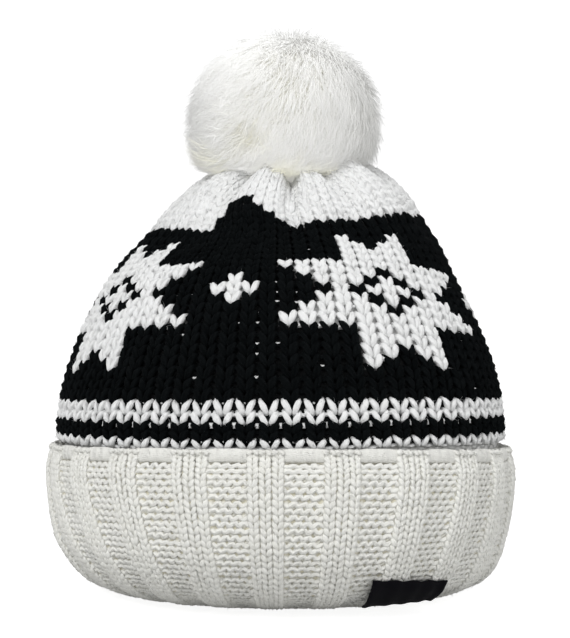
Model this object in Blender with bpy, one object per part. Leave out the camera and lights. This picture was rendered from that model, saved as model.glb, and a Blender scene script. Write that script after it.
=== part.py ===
"""A knitted pompom beanie with a turned-up ribbed cuff, standing on its rim.

Units are metres and +Z is up. The hat's front faces -Y, and the floor is z = 0. An azimuth is
measured in degrees from the front, towards +X. The crown and the cuff are hollow knitted walls,
each one closed section carried round the head; their tables hold shares of the named sizes.
"""

from collections import namedtuple
from math import cos, pi, radians, sin, tan

import bmesh
import bpy
import numpy as np
from mathutils import Vector, kdtree

# Sizes of the knitted walls
BODY_RADIUS = 0.0995
GATHER_HEIGHT = 0.176
CROWN_WALL = 0.0039
CROWN_COLUMNS = 72

# The slump of the crown's top, which hangs forward and a little to one side
SLUMP_ANGLE = 12.0
SLUMP_AZIMUTH = -18.0
GATHER_FORWARD = 0.012
GATHER_SIDE = 0.003

# The gathers round the tie
FOLD_DEPTH = 0.0085
GATHER_HOLE_RADIUS = 0.0055

# The turned-up cuff: two plies of ribbing with a slot between them, folded at the rim
CUFF_HEIGHT = 0.0630
CUFF_FRONT_RISE = 0.0040
CUFF_CLEARANCE = 0.0007
OUTER_PLY = 0.0036
PLY_SLOT = 0.0012
INNER_PLY = 0.0039
RIB_COUNT = 24
RIB_DEPTH = 0.0014
FIRST_GROOVE_AZIMUTH = 4.5
GROOVE_FLOOR_SHARE = 0.39
GROOVE_MOUTH_SHARE = 0.61
FOLD_EDGE_BULGE = 0.0034
FOLD_EDGE_SHARES = (0.25, 0.75)
CREST_SHARE = 0.5
CUFF_RADIUS = BODY_RADIUS + CUFF_CLEARANCE + OUTER_PLY

# The crown starts behind the cuff, this far under the cuff's top edge
JOIN_COVER = 0.0030
JOIN_HEIGHT = CUFF_HEIGHT - JOIN_COVER

# The pompom and the yarn that ties it on
POMPOM_RADIUS = 0.0432
POMPOM_RISE = 0.0290
LOCK_DEPTH = 0.0046
LOCK_SWEEP = 0.0050
LOCK_UNEVENNESS = 0.5
LOCK_FALL = 0.35
LOCK_TURN_STEP = 7.0
WHORL_AZIMUTH = -28.0
LOCK_SUBDIVISIONS = 3
SAME_DIRECTION = 0.001
POMPOM_SEAT_CLEARANCE = 0.0016
SEAT_REACH = 0.0078
TIE_KNOT_RADIUS = 0.0082
TIE_KNOT_HEIGHT = 0.0070
TIE_SIDES = 16

# The knot's outline from its lower end up: shares of TIE_KNOT_RADIUS, and of TIE_KNOT_HEIGHT under
# its top
KNOT_OUTLINE = [(0.55, 1.0), (1.0, 0.7), (1.0, 0.2), (0.85, 0.0)]

# The woven label on the rim; its skew is how much lower its far end's top lies
LABEL_START_AZIMUTH = 20.0
LABEL_END_AZIMUTH = 41.0
LABEL_THICKNESS = 0.0010
LABEL_TOP_HEIGHT = 0.0172
LABEL_BOTTOM_HEIGHT = 0.0040
LABEL_SKEW = 0.0032
LABEL_COLUMNS = 8
LABEL_ROWS = 7

# Clearance between pieces that touch on the real hat
TOUCH_GAP = 0.00035

# Edges that turn by less than this many degrees are shaded smooth
CROWN_SMOOTH_ANGLE = 50.0
CUFF_SMOOTH_ANGLE = 35.0
POMPOM_SMOOTH_ANGLE = 60.0
TRIM_SMOOTH_ANGLE = 40.0

# A row of the crown: rise is a share of the way from the join to the gather, reach a share of
# BODY_RADIUS, slump and lean shares of the slump angle and of the gather's shift, and fold a
# share of FOLD_DEPTH.
CrownRow = namedtuple("CrownRow", "rise reach slump lean fold")
CROWN_ROWS = [
    CrownRow(0.000, 0.988, 0.00, 0.00, 0.00),
    CrownRow(0.075, 1.000, 0.00, 0.00, 0.00),
    CrownRow(0.190, 0.990, 0.00, 0.00, 0.00),
    CrownRow(0.310, 0.955, 0.00, 0.00, 0.00),
    CrownRow(0.430, 0.903, 0.00, 0.00, 0.02),
    CrownRow(0.545, 0.840, 0.02, 0.00, 0.04),
    CrownRow(0.655, 0.772, 0.12, 0.05, 0.08),
    CrownRow(0.765, 0.706, 0.45, 0.20, 0.16),
    CrownRow(0.862, 0.628, 0.80, 0.42, 0.30),
    CrownRow(0.942, 0.550, 1.00, 0.65, 0.46),
    CrownRow(1.005, 0.462, 1.00, 0.82, 0.66),
    CrownRow(1.050, 0.368, 0.90, 0.93, 0.88),
    CrownRow(1.074, 0.275, 0.75, 1.00, 1.00),
    CrownRow(1.072, 0.190, 0.55, 1.00, 0.80),
    CrownRow(1.035, 0.112, 0.40, 1.00, 0.40),
    CrownRow(1.000, 0.000, 0.35, 1.00, 0.10),
]

# A gather round the crown's top: a puff has a height above 0 and a valley one below 0, as a
# share of FOLD_DEPTH. width is the half-width in degrees.
Gather = namedtuple("Gather", "azimuth width height")
GATHERS = [
    Gather(3, 13, -1.10),
    Gather(-17, 13, 0.45),
    Gather(-34, 10, -0.55),
    Gather(-56, 22, 0.35),
    Gather(-83, 14, -0.60),
    Gather(-108, 24, 0.50),
    Gather(-136, 15, -0.85),
    Gather(-160, 22, 0.45),
    Gather(178, 14, -0.95),
    Gather(153, 24, 0.50),
    Gather(124, 14, -0.70),
    Gather(98, 24, 0.55),
    Gather(72, 12, -0.45),
    Gather(52, 20, 0.60),
    Gather(30, 10, -0.40),
]

# A row down the cuff's outer face: height is a share of CUFF_HEIGHT, reach of CUFF_RADIUS, depth
# the front-to-back reach as a share of the sideways one, rise a share of CUFF_FRONT_RISE and rib
# a share of RIB_DEPTH.
CuffRow = namedtuple("CuffRow", "height reach depth rise rib")
CUFF_ROWS = [
    CuffRow(0.970, 0.9960, 1.00, 1.00, 0.45),
    CuffRow(0.860, 1.0000, 1.00, 0.85, 1.00),
    CuffRow(0.670, 0.9930, 1.00, 0.60, 1.00),
    CuffRow(0.450, 0.9730, 0.99, 0.30, 1.00),
    CuffRow(0.270, 0.9450, 0.97, 0.10, 1.00),
    CuffRow(0.135, 0.9070, 0.93, 0.00, 0.90),
    CuffRow(0.048, 0.8450, 0.87, 0.00, 0.60),
    CuffRow(0.000, 0.7550, 0.80, 0.00, 0.00),
    CuffRow(0.000, 0.6250, 0.80, 0.00, 0.00),
]
CONTACT_ROW_COUNT = 2
JOIN_ROW = CuffRow(height=0.0, reach=1.0, depth=1.0, rise=0.0, rib=1.0)

# The rows, counted from the rim, at which the slot between the plies has its corners
SLOT_ROWS = [6, 4, 2]
INNER_GROOVE_SHARE = 0.6


def clear_scene():
    for item in list(bpy.data.objects):
        bpy.data.objects.remove(item, do_unlink=True)


def make_material(name, color, roughness):
    material = bpy.data.materials.new(name)
    material.use_nodes = True
    shader = material.node_tree.nodes["Principled BSDF"]
    shader.inputs["Base Color"].default_value = (*color, 1.0)
    shader.inputs["Roughness"].default_value = roughness
    shader.inputs["Metallic"].default_value = 0.0
    return material


def join_loops(bm, loop, following):
    """A band of faces between two closed loops of as many vertices."""
    for k in range(len(loop)):
        right = (k + 1) % len(loop)
        bm.faces.new((loop[k], loop[right], following[right], following[k]))


def finish_solid(name, bm, material, smooth_angle):
    """Turns the closed skin in bm into a named object, smooth but for its sharper edges."""
    bmesh.ops.recalc_face_normals(bm, faces=bm.faces)
    mesh = bpy.data.meshes.new(name)
    bm.to_mesh(mesh)
    bm.free()
    mesh.materials.append(material)
    mesh.shade_smooth()
    mesh.set_sharp_from_angle(angle=radians(smooth_angle))
    item = bpy.data.objects.new(name, mesh)
    bpy.context.scene.collection.objects.link(item)
    return item


def solid_of_rings(name, rings, material, smooth_angle):
    """A closed solid whose rings of points follow one closed section round the head."""
    bm = bmesh.new()
    loops = [[bm.verts.new(point) for point in ring] for ring in rings]
    for loop, following in zip(loops, loops[1:] + loops[:1]):
        join_loops(bm, loop, following)
    return finish_solid(name, bm, material, smooth_angle)


def section_normals(section):
    """The outward normal at each point of an open (radius, height) line that climbs the outside."""
    section = np.array(section)
    along = np.gradient(section, axis=0)
    normals = np.stack([along[:, 1], -along[:, 0]], axis=1)
    return normals / np.linalg.norm(normals, axis=1)[:, None]


# The crown

def crown_section():
    """The crown's outer line without its gathers, as (radius, height), from the join upwards."""
    climb = GATHER_HEIGHT - JOIN_HEIGHT
    section = [(row.reach * BODY_RADIUS, JOIN_HEIGHT + row.rise * climb) for row in CROWN_ROWS]
    section[-1] = (GATHER_HOLE_RADIUS, section[-1][1])
    return section


def gather_height(azimuth):
    """How far the gathers lift the crown's top at an azimuth in degrees, as a share."""
    total = 0.0
    for gather in GATHERS:
        away = abs((azimuth - gather.azimuth + 180.0) % 360.0 - 180.0) / gather.width
        if away < 1.0:
            total += gather.height * 0.5 * (1.0 + cos(pi * away))
    return total


def crown_point(radius, height, row, azimuth):
    """A point of the crown's wall, with the slump and lean of its row."""
    turn = radians(azimuth)
    slump_turn = radians(SLUMP_AZIMUTH)
    towards_slump = radius * cos(turn - slump_turn)
    drop = towards_slump * tan(radians(SLUMP_ANGLE * row.slump))
    x = radius * sin(turn) + GATHER_SIDE * row.lean
    y = -radius * cos(turn) - GATHER_FORWARD * row.lean
    return Vector((x, y, height - drop))


def crown_face(inset):
    """The crown's rings at a depth of inset under its outer face."""
    section = crown_section()
    normals = section_normals(section)
    normals[0] = (1.0, 0.0)
    rings = []
    for row, (radius, height), normal in zip(CROWN_ROWS, section, normals):
        ring = []
        for k in range(CROWN_COLUMNS):
            azimuth = 360.0 * k / CROWN_COLUMNS
            lift = FOLD_DEPTH * row.fold * gather_height(azimuth) - inset
            ring.append(
                crown_point(radius + lift * normal[0], height + lift * normal[1], row, azimuth)
            )
        rings.append(ring)
    return rings


def make_crown(material):
    """The stockinette shell, open below and gathered to a small hole above."""
    outer = crown_face(0.0)
    inner = crown_face(CROWN_WALL)
    return solid_of_rings("crown", outer + inner[::-1], material, CROWN_SMOOTH_ANGLE)


# The cuff

def cuff_section():
    """The cuff's outer line, as (radius, height), from the rim's fold up to the top edge."""
    return [(row.reach * CUFF_RADIUS, row.height * CUFF_HEIGHT) for row in CUFF_ROWS[::-1]]


def cuff_normals():
    """Outward normals of the cuff's outer line, straight down at the rim and level at the top."""
    normals = section_normals(cuff_section())
    normals[0] = (0.0, -1.0)
    normals[-1] = (1.0, 0.0)
    return normals


def cuff_point(radius, height, row, azimuth):
    """A point of the cuff's wall: the ring of its row is wider than deep and rises in front."""
    turn = radians(azimuth)
    rise = CUFF_FRONT_RISE * row.rise * cos(turn) ** 2
    return Vector((radius * sin(turn), -radius * row.depth * cos(turn), height + rise))


def rib_corners():
    """Four corners for each rib, as (azimuth, sink), so that a groove has a floor and two sides."""
    pitch = 360.0 / RIB_COUNT
    shape = [
        (-GROOVE_MOUTH_SHARE, 0.0),
        (-GROOVE_FLOOR_SHARE, 1.0),
        (GROOVE_FLOOR_SHARE, 1.0),
        (GROOVE_MOUTH_SHARE, 0.0),
    ]
    return [
        (FIRST_GROOVE_AZIMUTH + pitch * (k + 0.5 * side), sink)
        for k in range(RIB_COUNT)
        for side, sink in shape
    ]


def cuff_ring(radius, height, row, groove=0.0, normal=(0.0, 0.0)):
    """One ring of the cuff; its grooves sink that far below the face whose normal is given."""
    ring = []
    for azimuth, sink in rib_corners():
        depth = groove * sink
        ring.append(
            cuff_point(radius - depth * normal[0], height - depth * normal[1], row, azimuth)
        )
    return ring


def make_cuff(material):
    """Outer ply, fold at the rim and inner ply as one ring, open between the plies at the top."""
    rows = CUFF_ROWS[::-1]
    section = cuff_section()
    normals = cuff_normals()
    thickness = OUTER_PLY + PLY_SLOT + INNER_PLY

    def ring(index, inset, groove=0.0, facing=1.0):
        """The ring of one row, inset from the outer face; facing is -1 for the inner face."""
        radius, height = section[index]
        across, up = normals[index]
        return cuff_ring(
            radius - inset * across,
            height - inset * up,
            rows[index],
            groove * rows[index].rib * RIB_DEPTH,
            (facing * across, facing * up),
        )

    def join_ring(inset, groove=0.0):
        """A level ring at the inner ply's top edge, just under the crown's."""
        radius = crown_section()[0][0] + OUTER_PLY + PLY_SLOT - inset
        return cuff_ring(
            radius, JOIN_HEIGHT - TOUCH_GAP, JOIN_ROW, groove * RIB_DEPTH, (-1.0, 0.0)
        )

    top = len(rows) - 1
    fold_radius = section[0][0] - FOLD_EDGE_BULGE
    crest_radius = section[top][0] - CREST_SHARE * OUTER_PLY
    slot_inner = OUTER_PLY + PLY_SLOT

    outer_face = [ring(k, 0.0, groove=1.0) for k in range(top, -1, -1)]
    fold_edge = [cuff_ring(fold_radius, share * thickness, rows[0]) for share in FOLD_EDGE_SHARES]
    inner_face = [ring(k, thickness, INNER_GROOVE_SHARE, -1.0) for k in range(top - 1)]
    inner_edge = [join_ring(thickness, INNER_GROOVE_SHARE), join_ring(slot_inner)]
    slot_down = [ring(k, slot_inner) for k in SLOT_ROWS]
    slot_up = [ring(k, OUTER_PLY) for k in SLOT_ROWS[::-1]]
    top_edge = [ring(top, OUTER_PLY), cuff_ring(crest_radius, CUFF_HEIGHT, rows[top])]
    rings = outer_face + fold_edge + inner_face + inner_edge + slot_down + slot_up + top_edge
    return solid_of_rings("cuff", rings, material, CUFF_SMOOTH_ANGLE)


# The tie and the pompom

def gather_centre():
    return Vector((GATHER_SIDE, -GATHER_FORWARD, GATHER_HEIGHT))


def seat_height():
    """The height of the flat under the pompom, which the tie holds just above the gather."""
    lip = crown_face(0.0)[-2]
    return max(point.z for point in lip) + POMPOM_SEAT_CLEARANCE


def make_tie(material):
    """The yarn that ties the pompom on: a stem through the gather and a knot under it."""
    centre = gather_centre()
    under = min(point.z for point in crown_face(CROWN_WALL)[-1])
    knot_top = under - TOUCH_GAP
    stem = GATHER_HOLE_RADIUS - 2.0 * TOUCH_GAP
    profile = [
        (reach * TIE_KNOT_RADIUS, knot_top - drop * TIE_KNOT_HEIGHT) for reach, drop in KNOT_OUTLINE
    ]
    profile += [(stem, knot_top), (stem, seat_height() - TOUCH_GAP)]
    turns = [2.0 * pi * k / TIE_SIDES for k in range(TIE_SIDES)]
    bm = bmesh.new()
    loops = []
    for radius, height in profile:
        places = [
            (centre.x + radius * cos(turn), centre.y + radius * sin(turn), height)
            for turn in turns
        ]
        loops.append([bm.verts.new(place) for place in places])
    for loop, following in zip(loops, loops[1:]):
        join_loops(bm, loop, following)
    bm.faces.new(loops[0][::-1])
    bm.faces.new(loops[-1])
    return finish_solid("pompom_tie", bm, material, TRIM_SMOOTH_ANGLE)


def lock_tips():
    """A search tree of the directions in which the pompom's locks stand."""
    bm = bmesh.new()
    bmesh.ops.create_icosphere(bm, subdivisions=LOCK_SUBDIVISIONS, radius=1.0)
    tree = kdtree.KDTree(len(bm.verts))
    for k, vert in enumerate(bm.verts):
        tree.insert(vert.co, k)
    tree.balance()
    bm.free()
    return tree


def lock_tip(out, number):
    """Where a lock's tip lies from the pompom's centre: combed away from the whorl and down."""
    turn = radians(WHORL_AZIMUTH)
    whorl = Vector((sin(turn), -cos(turn), 0.0))
    away = out - whorl
    comb = away - out * away.dot(out) - Vector((0.0, 0.0, LOCK_FALL))
    short = LOCK_UNEVENNESS * LOCK_DEPTH * 0.5 * (1.0 + sin(LOCK_TURN_STEP * number))
    swept = out * POMPOM_RADIUS + comb.normalized() * LOCK_SWEEP * min(1.0, comb.length)
    return swept.normalized() * (POMPOM_RADIUS - short)


def make_pompom(material):
    """A round head whose locks stand out from it in one skin, flattened on the crown's gathers."""
    centre = gather_centre() + Vector((0.0, 0.0, POMPOM_RISE))
    crown_points = np.array([tuple(point) for ring in crown_face(0.0) for point in ring])
    seat = seat_height()
    tips = lock_tips()
    bm = bmesh.new()
    bmesh.ops.create_icosphere(bm, subdivisions=LOCK_SUBDIVISIONS + 1, radius=1.0)
    for number, vert in enumerate(bm.verts):
        out = vert.co.normalized()
        place = centre + out * (POMPOM_RADIUS - LOCK_DEPTH)
        if tips.find(out)[2] < SAME_DIRECTION:
            place = centre + lock_tip(out, number)
        away = np.hypot(crown_points[:, 0] - place.x, crown_points[:, 1] - place.y)
        below = crown_points[away < SEAT_REACH, 2]
        if below.size:
            place.z = max(place.z, below.max() + POMPOM_SEAT_CLEARANCE, seat)
        vert.co = place
    return finish_solid("pompom", bm, material, POMPOM_SMOOTH_ANGLE)


# The label

def cuff_face_at(height):
    """The cuff's outer face at a height above the rim: (radius, row, normal)."""
    section = np.array(cuff_section())[CONTACT_ROW_COUNT - 1:]
    normals = cuff_normals()[CONTACT_ROW_COUNT - 1:]
    rows = np.array(CUFF_ROWS[::-1])[CONTACT_ROW_COUNT - 1:]
    heights = section[:, 1]
    radius = np.interp(height, heights, section[:, 0])
    row = CuffRow(*(np.interp(height, heights, column) for column in rows.T))
    normal = Vector([np.interp(height, heights, column) for column in normals.T])
    return radius, row, normal.normalized()


def label_grid(bm, lift):
    """The label's vertices at a lift off the cuff, by rows from its top edge down."""
    grid = []
    for k in range(LABEL_ROWS + 1):
        row_verts = []
        for column in range(LABEL_COLUMNS + 1):
            share = column / LABEL_COLUMNS
            azimuth = LABEL_START_AZIMUTH + share * (LABEL_END_AZIMUTH - LABEL_START_AZIMUTH)
            top = LABEL_TOP_HEIGHT - share * LABEL_SKEW
            height = top - (top - LABEL_BOTTOM_HEIGHT) * k / LABEL_ROWS
            radius, row, normal = cuff_face_at(height)
            point = cuff_point(radius + lift * normal.x, height + lift * normal.y, row, azimuth)
            row_verts.append(bm.verts.new(point))
        grid.append(row_verts)
    return grid


def grid_rim(grid):
    """The loop of vertices round the edge of a grid of rows."""
    right = [row[-1] for row in grid[1:]]
    left = [row[0] for row in grid[-2:0:-1]]
    return grid[0] + right + grid[-1][-2::-1] + left


def make_label(material):
    """A bare woven label, curved round the cuff where it turns in to the rim."""
    bm = bmesh.new()
    grids = [label_grid(bm, lift) for lift in (TOUCH_GAP, TOUCH_GAP + LABEL_THICKNESS)]
    for grid in grids:
        for upper, lower in zip(grid, grid[1:]):
            for k in range(LABEL_COLUMNS):
                bm.faces.new((upper[k], upper[k + 1], lower[k + 1], lower[k]))
    join_loops(bm, grid_rim(grids[0]), grid_rim(grids[1]))
    return finish_solid("label", bm, material, TRIM_SMOOTH_ANGLE)


clear_scene()
make_crown(make_material("body_knit", (0.30, 0.30, 0.31), 0.9))
make_cuff(make_material("rib_knit", (0.80, 0.80, 0.75), 0.9))
make_pompom(make_material("fur", (0.86, 0.85, 0.80), 0.95))
make_tie(make_material("tie_yarn", (0.80, 0.80, 0.75), 0.9))
make_label(make_material("label_weave", (0.012, 0.011, 0.013), 0.7))
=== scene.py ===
# %% [markdown]
# # A knitted pompom beanie
#
# The hat is chunky stranded knitting: a black and white body of large V-shaped stitches, a white
# turned-up cuff of fine ribbing, a fur pompom tied on at the gathered top, and a small black
# woven label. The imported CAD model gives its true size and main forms. This script lays the yarn,
# the fur and the light over those forms. Everything is in metres, +Z is up, the hat's front faces
# -Y, and an azimuth is measured in degrees from the front, towards +X.

import bmesh
import bpy
import numpy as np
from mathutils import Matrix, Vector
from mathutils.bvhtree import BVHTree


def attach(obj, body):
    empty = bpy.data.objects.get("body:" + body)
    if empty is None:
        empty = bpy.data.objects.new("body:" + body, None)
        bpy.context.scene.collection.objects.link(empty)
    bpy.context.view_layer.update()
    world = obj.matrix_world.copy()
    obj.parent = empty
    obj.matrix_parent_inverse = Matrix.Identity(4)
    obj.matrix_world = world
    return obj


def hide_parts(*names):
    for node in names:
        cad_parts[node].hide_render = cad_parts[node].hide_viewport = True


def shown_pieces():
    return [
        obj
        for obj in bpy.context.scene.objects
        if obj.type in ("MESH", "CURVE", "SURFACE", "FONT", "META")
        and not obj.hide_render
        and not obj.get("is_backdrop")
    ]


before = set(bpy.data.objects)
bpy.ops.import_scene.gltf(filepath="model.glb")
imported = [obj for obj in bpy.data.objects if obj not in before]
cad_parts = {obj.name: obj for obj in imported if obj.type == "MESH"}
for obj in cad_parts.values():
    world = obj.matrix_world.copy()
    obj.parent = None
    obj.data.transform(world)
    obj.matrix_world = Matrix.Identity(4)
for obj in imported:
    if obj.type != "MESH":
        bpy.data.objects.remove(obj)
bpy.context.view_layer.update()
bpy.ops.object.select_all(action="DESELECT")

# %% [markdown]
# ## The camera
#
# The photograph was taken from just above the hat's middle, half a metre in front. The camera is
# made first, so that every later piece can be judged in the frame. A long lens set a little below
# the hat's middle and tipped up by a few degrees gives the photograph's view without a lens shift.

# %% The camera
CAMERA_PLACE = (0.0, -0.490, 0.089)
CAMERA_PITCH = 3.5
CAMERA_YAW = -0.21
CAMERA_LENS = 60.8
SENSOR = 36.0

bpy.ops.object.camera_add(
    location=CAMERA_PLACE,
    rotation=(np.radians(90.0 + CAMERA_PITCH), 0.0, np.radians(CAMERA_YAW)),
)
camera = bpy.context.object
camera.data.lens = CAMERA_LENS
camera.data.sensor_width = SENSOR
camera.data.sensor_fit = "AUTO"
camera.data.clip_start = 0.01
bpy.context.scene.camera = camera

# %% [markdown]
# ## Light and backdrop
#
# A knitted thing shows its stitches by the small shadows between them, so the light has one
# soft main direction, from the upper left in front, and a bright surround that fills the shadows
# without flattening them. The surround is one seamless bowl: a flat floor that curves up into a
# wall. It could be a plane and a wall plane, but a bowl has no corner and looks the same from
# every side.

# %% The seamless floor and backdrop
# (radius, height) of each ring of the bowl
BOWL_PROFILE = [(1.1, 0.0), (1.6, 0.04), (2.1, 0.25), (2.5, 0.75), (2.65, 1.6), (2.65, 3.4)]
BOWL_SIDES = 64

bpy.ops.mesh.primitive_circle_add(vertices=BOWL_SIDES, radius=BOWL_PROFILE[0][0], fill_type="NGON")
bowl = bpy.context.object
bowl.name = "studio_floor"
bpy.ops.object.mode_set(mode="EDIT")
for (inner, below), (outer, above) in zip(BOWL_PROFILE, BOWL_PROFILE[1:]):
    bpy.ops.mesh.select_mode(type="EDGE")
    bpy.ops.mesh.select_all(action="DESELECT")
    bm = bmesh.from_edit_mesh(bowl.data)
    for edge in bm.edges:
        edge.select = edge.is_boundary
    bmesh.update_edit_mesh(bowl.data)
    bpy.ops.mesh.extrude_edges_move(TRANSFORM_OT_translate={"value": (0.0, 0.0, above - below)})
    share = outer / inner
    bpy.ops.transform.resize(value=(share, share, 1.0), center_override=(0.0, 0.0, 0.0))
bpy.ops.mesh.select_all(action="SELECT")
bpy.ops.mesh.normals_make_consistent(inside=True)
bpy.ops.object.mode_set(mode="OBJECT")
bpy.ops.object.shade_smooth()
bowl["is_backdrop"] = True
print("backdrop:", len(bowl.data.polygons), "faces")

# %% [markdown]
# ## A way to write shader maths
#
# Each finish is a small sum: a pattern along the yarn plus a little noise. Wiring Math nodes by
# hand hides that sum, so one class wraps a node's output and lets Python's own operators add the
# Math nodes. Every other node comes from its one method, which takes the kind of node, its
# settings and the values or links of its sockets. The few nodes that every yarn needs have short
# methods of their own, which call that one.

# %% Wires between shader nodes
FULL_TURN = 2.0 * np.pi


class Wire:
    """A node's output that adds Math nodes when it stands in a Python expression."""

    def __init__(self, tree, socket=None):
        self.tree = tree
        self.socket = socket

    def node(self, kind, inputs=None, settings=None, stops=None, output=0):
        """Adds a node: its settings first, then the values or links of its sockets."""
        made = self.tree.nodes.new(kind)
        for key, value in (settings or {}).items():
            setattr(made, key, value)
        if stops:
            ramp = made.color_ramp
            while len(ramp.elements) < len(stops):
                ramp.elements.new(0.5)
            for element, (place, color) in zip(ramp.elements, stops):
                element.position = place
                element.color = (*color, 1.0)
        for key, value in (inputs or {}).items():
            if isinstance(value, Wire):
                self.tree.links.new(value.socket, made.inputs[key])
            else:
                made.inputs[key].default_value = value
        return Wire(self.tree, made.outputs[output])

    def math(self, operation, *terms):
        return self.node("ShaderNodeMath", dict(enumerate(terms)), {"operation": operation})

    def clamped(self):
        return self.node("ShaderNodeClamp", {"Value": self})

    def wave(self):
        """A wave between 0 and 1 that repeats with every whole number."""
        return self.math("SINE", FULL_TURN * self) * 0.5 + 0.5

    def parts(self):
        """A vector's three numbers."""
        split = self.node("ShaderNodeSeparateXYZ", {"Vector": self})
        return [Wire(self.tree, socket) for socket in split.socket.node.outputs]

    def place(self):
        return self.node("ShaderNodeTexCoord", output=3)

    def uv(self, name="yarn"):
        return self.node("ShaderNodeUVMap", settings={"uv_map": name})

    def shade(self):
        return self.node("ShaderNodeAttribute", settings={"attribute_name": "shade"}, output=2)

    def noise(self, place, scale, detail, roughness=0.5):
        inputs = {"Vector": place, "Scale": scale, "Detail": detail, "Roughness": roughness}
        return self.node("ShaderNodeTexNoise", inputs)

    def relief(self, height, distance, strength):
        inputs = {"Strength": strength, "Distance": distance, "Height": height}
        return self.node("ShaderNodeBump", inputs)

    def __add__(self, other):
        return self.math("ADD", self, other)

    def __radd__(self, other):
        return self.math("ADD", other, self)

    def __sub__(self, other):
        return self.math("SUBTRACT", self, other)

    def __rsub__(self, other):
        return self.math("SUBTRACT", other, self)

    def __mul__(self, other):
        return self.math("MULTIPLY", self, other)

    def __rmul__(self, other):
        return self.math("MULTIPLY", other, self)


def start_finish(name, roughness, sheen=0.0, sheen_tint=(1.0, 1.0, 1.0), specular=0.25):
    """A new material with its constant values, its shader and a first wire."""
    material = bpy.data.materials.new(name)
    material.use_nodes = True
    shader = material.node_tree.nodes["Principled BSDF"]
    shader.inputs["Roughness"].default_value = roughness
    shader.inputs["Specular IOR Level"].default_value = specular
    shader.inputs["Sheen Weight"].default_value = sheen
    shader.inputs["Sheen Roughness"].default_value = 0.55
    shader.inputs["Sheen Tint"].default_value = (*sheen_tint, 1.0)
    return material, shader, Wire(material.node_tree)


def paint(wire, shader, socket, value):
    wire.tree.links.new(value.socket, shader.inputs[socket])


def mix_colors(wire, factor, first, second):
    """first where factor is 0 and second where it is 1."""
    ends = [c if isinstance(c, Wire) else (*c, 1.0) for c in (first, second)]
    inputs = {0: factor, 6: ends[0], 7: ends[1]}
    return wire.node("ShaderNodeMix", inputs, {"data_type": "RGBA"}, output=2)


# %% The floor's finish and the lights
STUDIO_GREY = (0.50, 0.50, 0.50)
GLOW_OF_FLOOR = (0.12, 0.12, 0.12)
GLOW_OF_WALL = (0.33, 0.33, 0.33)
GLOW_SEEN = (0.86, 0.86, 0.86)
GLOW_CLIMB = 2.0
AIR_STRENGTH = 0.4
# (name, place, height of the point it faces, size, power) of each square lamp
LAMPS = [
    ("key_light", (-0.46, -1.03, 0.95), 0.11, 0.75, 9.8),
    ("fill_light", (0.95, -0.75, 0.45), 0.10, 0.90, 2.6),
    ("back_light", (0.35, 1.0, 0.95), 0.12, 0.80, 4.0),
]

material, shader, wire = start_finish("studio_white", 0.9, specular=0.0)
shader.inputs["Base Color"].default_value = (*STUDIO_GREY, 1.0)
shader.inputs["Emission Strength"].default_value = 1.0
seen = wire.node("ShaderNodeLightPath")
height = wire.place().parts()[2]
glow = mix_colors(wire, (height * GLOW_CLIMB).clamped(), GLOW_OF_FLOOR, GLOW_OF_WALL)
paint(wire, shader, "Emission Color", mix_colors(wire, seen, glow, GLOW_SEEN))
bowl.data.materials.append(material)

for name, place, aim, size, power in LAMPS:
    facing = (Vector(place) - Vector((0.0, 0.0, aim))).to_track_quat("Z", "Y").to_euler()
    bpy.ops.object.light_add(type="AREA", location=place, rotation=facing)
    lamp = bpy.context.object
    lamp.name = name
    lamp.data.size = size
    lamp.data.energy = power
    lamp.visible_camera = False

world = bpy.data.worlds.new("studio_air")
world.use_nodes = True
air = world.node_tree.nodes["Background"].inputs
air["Color"].default_value = (1.0, 1.0, 1.0, 1.0)
air["Strength"].default_value = AIR_STRENGTH
bpy.context.scene.world = world
bpy.context.scene.view_settings.view_transform = "Standard"

# %% [markdown]
# ## The hat's two surfaces
#
# All knitting lies on a surface, so the first need is a function that turns an azimuth and a
# distance along the hat's profile into a place and an outward direction. The CAD walls are built
# from sections with straight sides. The two tables here follow the same sections in shares of the
# hat's sizes, and smooth curves join their rows. Measuring the place along the profile rather than
# by height keeps the stitch rows evenly spaced where the hat slopes in to its gather.

# %% Smooth profiles
def unit(vectors):
    """Vectors along the last axis, each brought to a length of 1."""
    return vectors / np.maximum(np.linalg.norm(vectors, axis=-1, keepdims=True), 1e-12)


def eased(share):
    """A share from 0 to 1 that starts and ends gently."""
    return share * share * (3.0 - 2.0 * share)


def smooth_rows(rows, steps=14):
    """The rows of a table, joined by a smooth curve through every one of them."""
    rows = np.array(rows, float)
    ends = np.vstack([2 * rows[0] - rows[1], rows, 2 * rows[-1] - rows[-2]])
    t = np.arange(steps)[:, None] / steps
    parts = []
    for a, b, c, d in zip(ends, ends[1:], ends[2:], ends[3:]):
        curve = c - a + t * (2 * a - 5 * b + 4 * c - d + t * (3 * (b - c) + d - a))
        parts.append(b + 0.5 * t * curve)
    return np.vstack([*parts, rows[-1:]])


def lay_profile(rows, foot, climb, radius, sign=1.0):
    """A table in metres, (radius, height, ..., across, up), and each row's distance along it.

    across and up are the profile's outward direction.
    """
    table = smooth_rows(rows)[:, [1, 0, 2, 3, 4]]
    table[:, 0] *= radius
    table[:, 1] = foot + np.maximum(table[:, 1], 0.0) * climb
    steps = np.linalg.norm(np.diff(table[:, :2], axis=0), axis=1)
    along = np.gradient(table[:, :2], axis=0)
    normals = unit(np.stack([along[:, 1], -along[:, 0]], axis=1) * sign)
    return np.hstack([table, normals]), np.concatenate([[0.0], np.cumsum(steps)])


def read_rows(arc, arcs, table):
    """The table's columns at distances along the profile."""
    return [np.interp(arc, arcs, column) for column in table.T]


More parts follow.
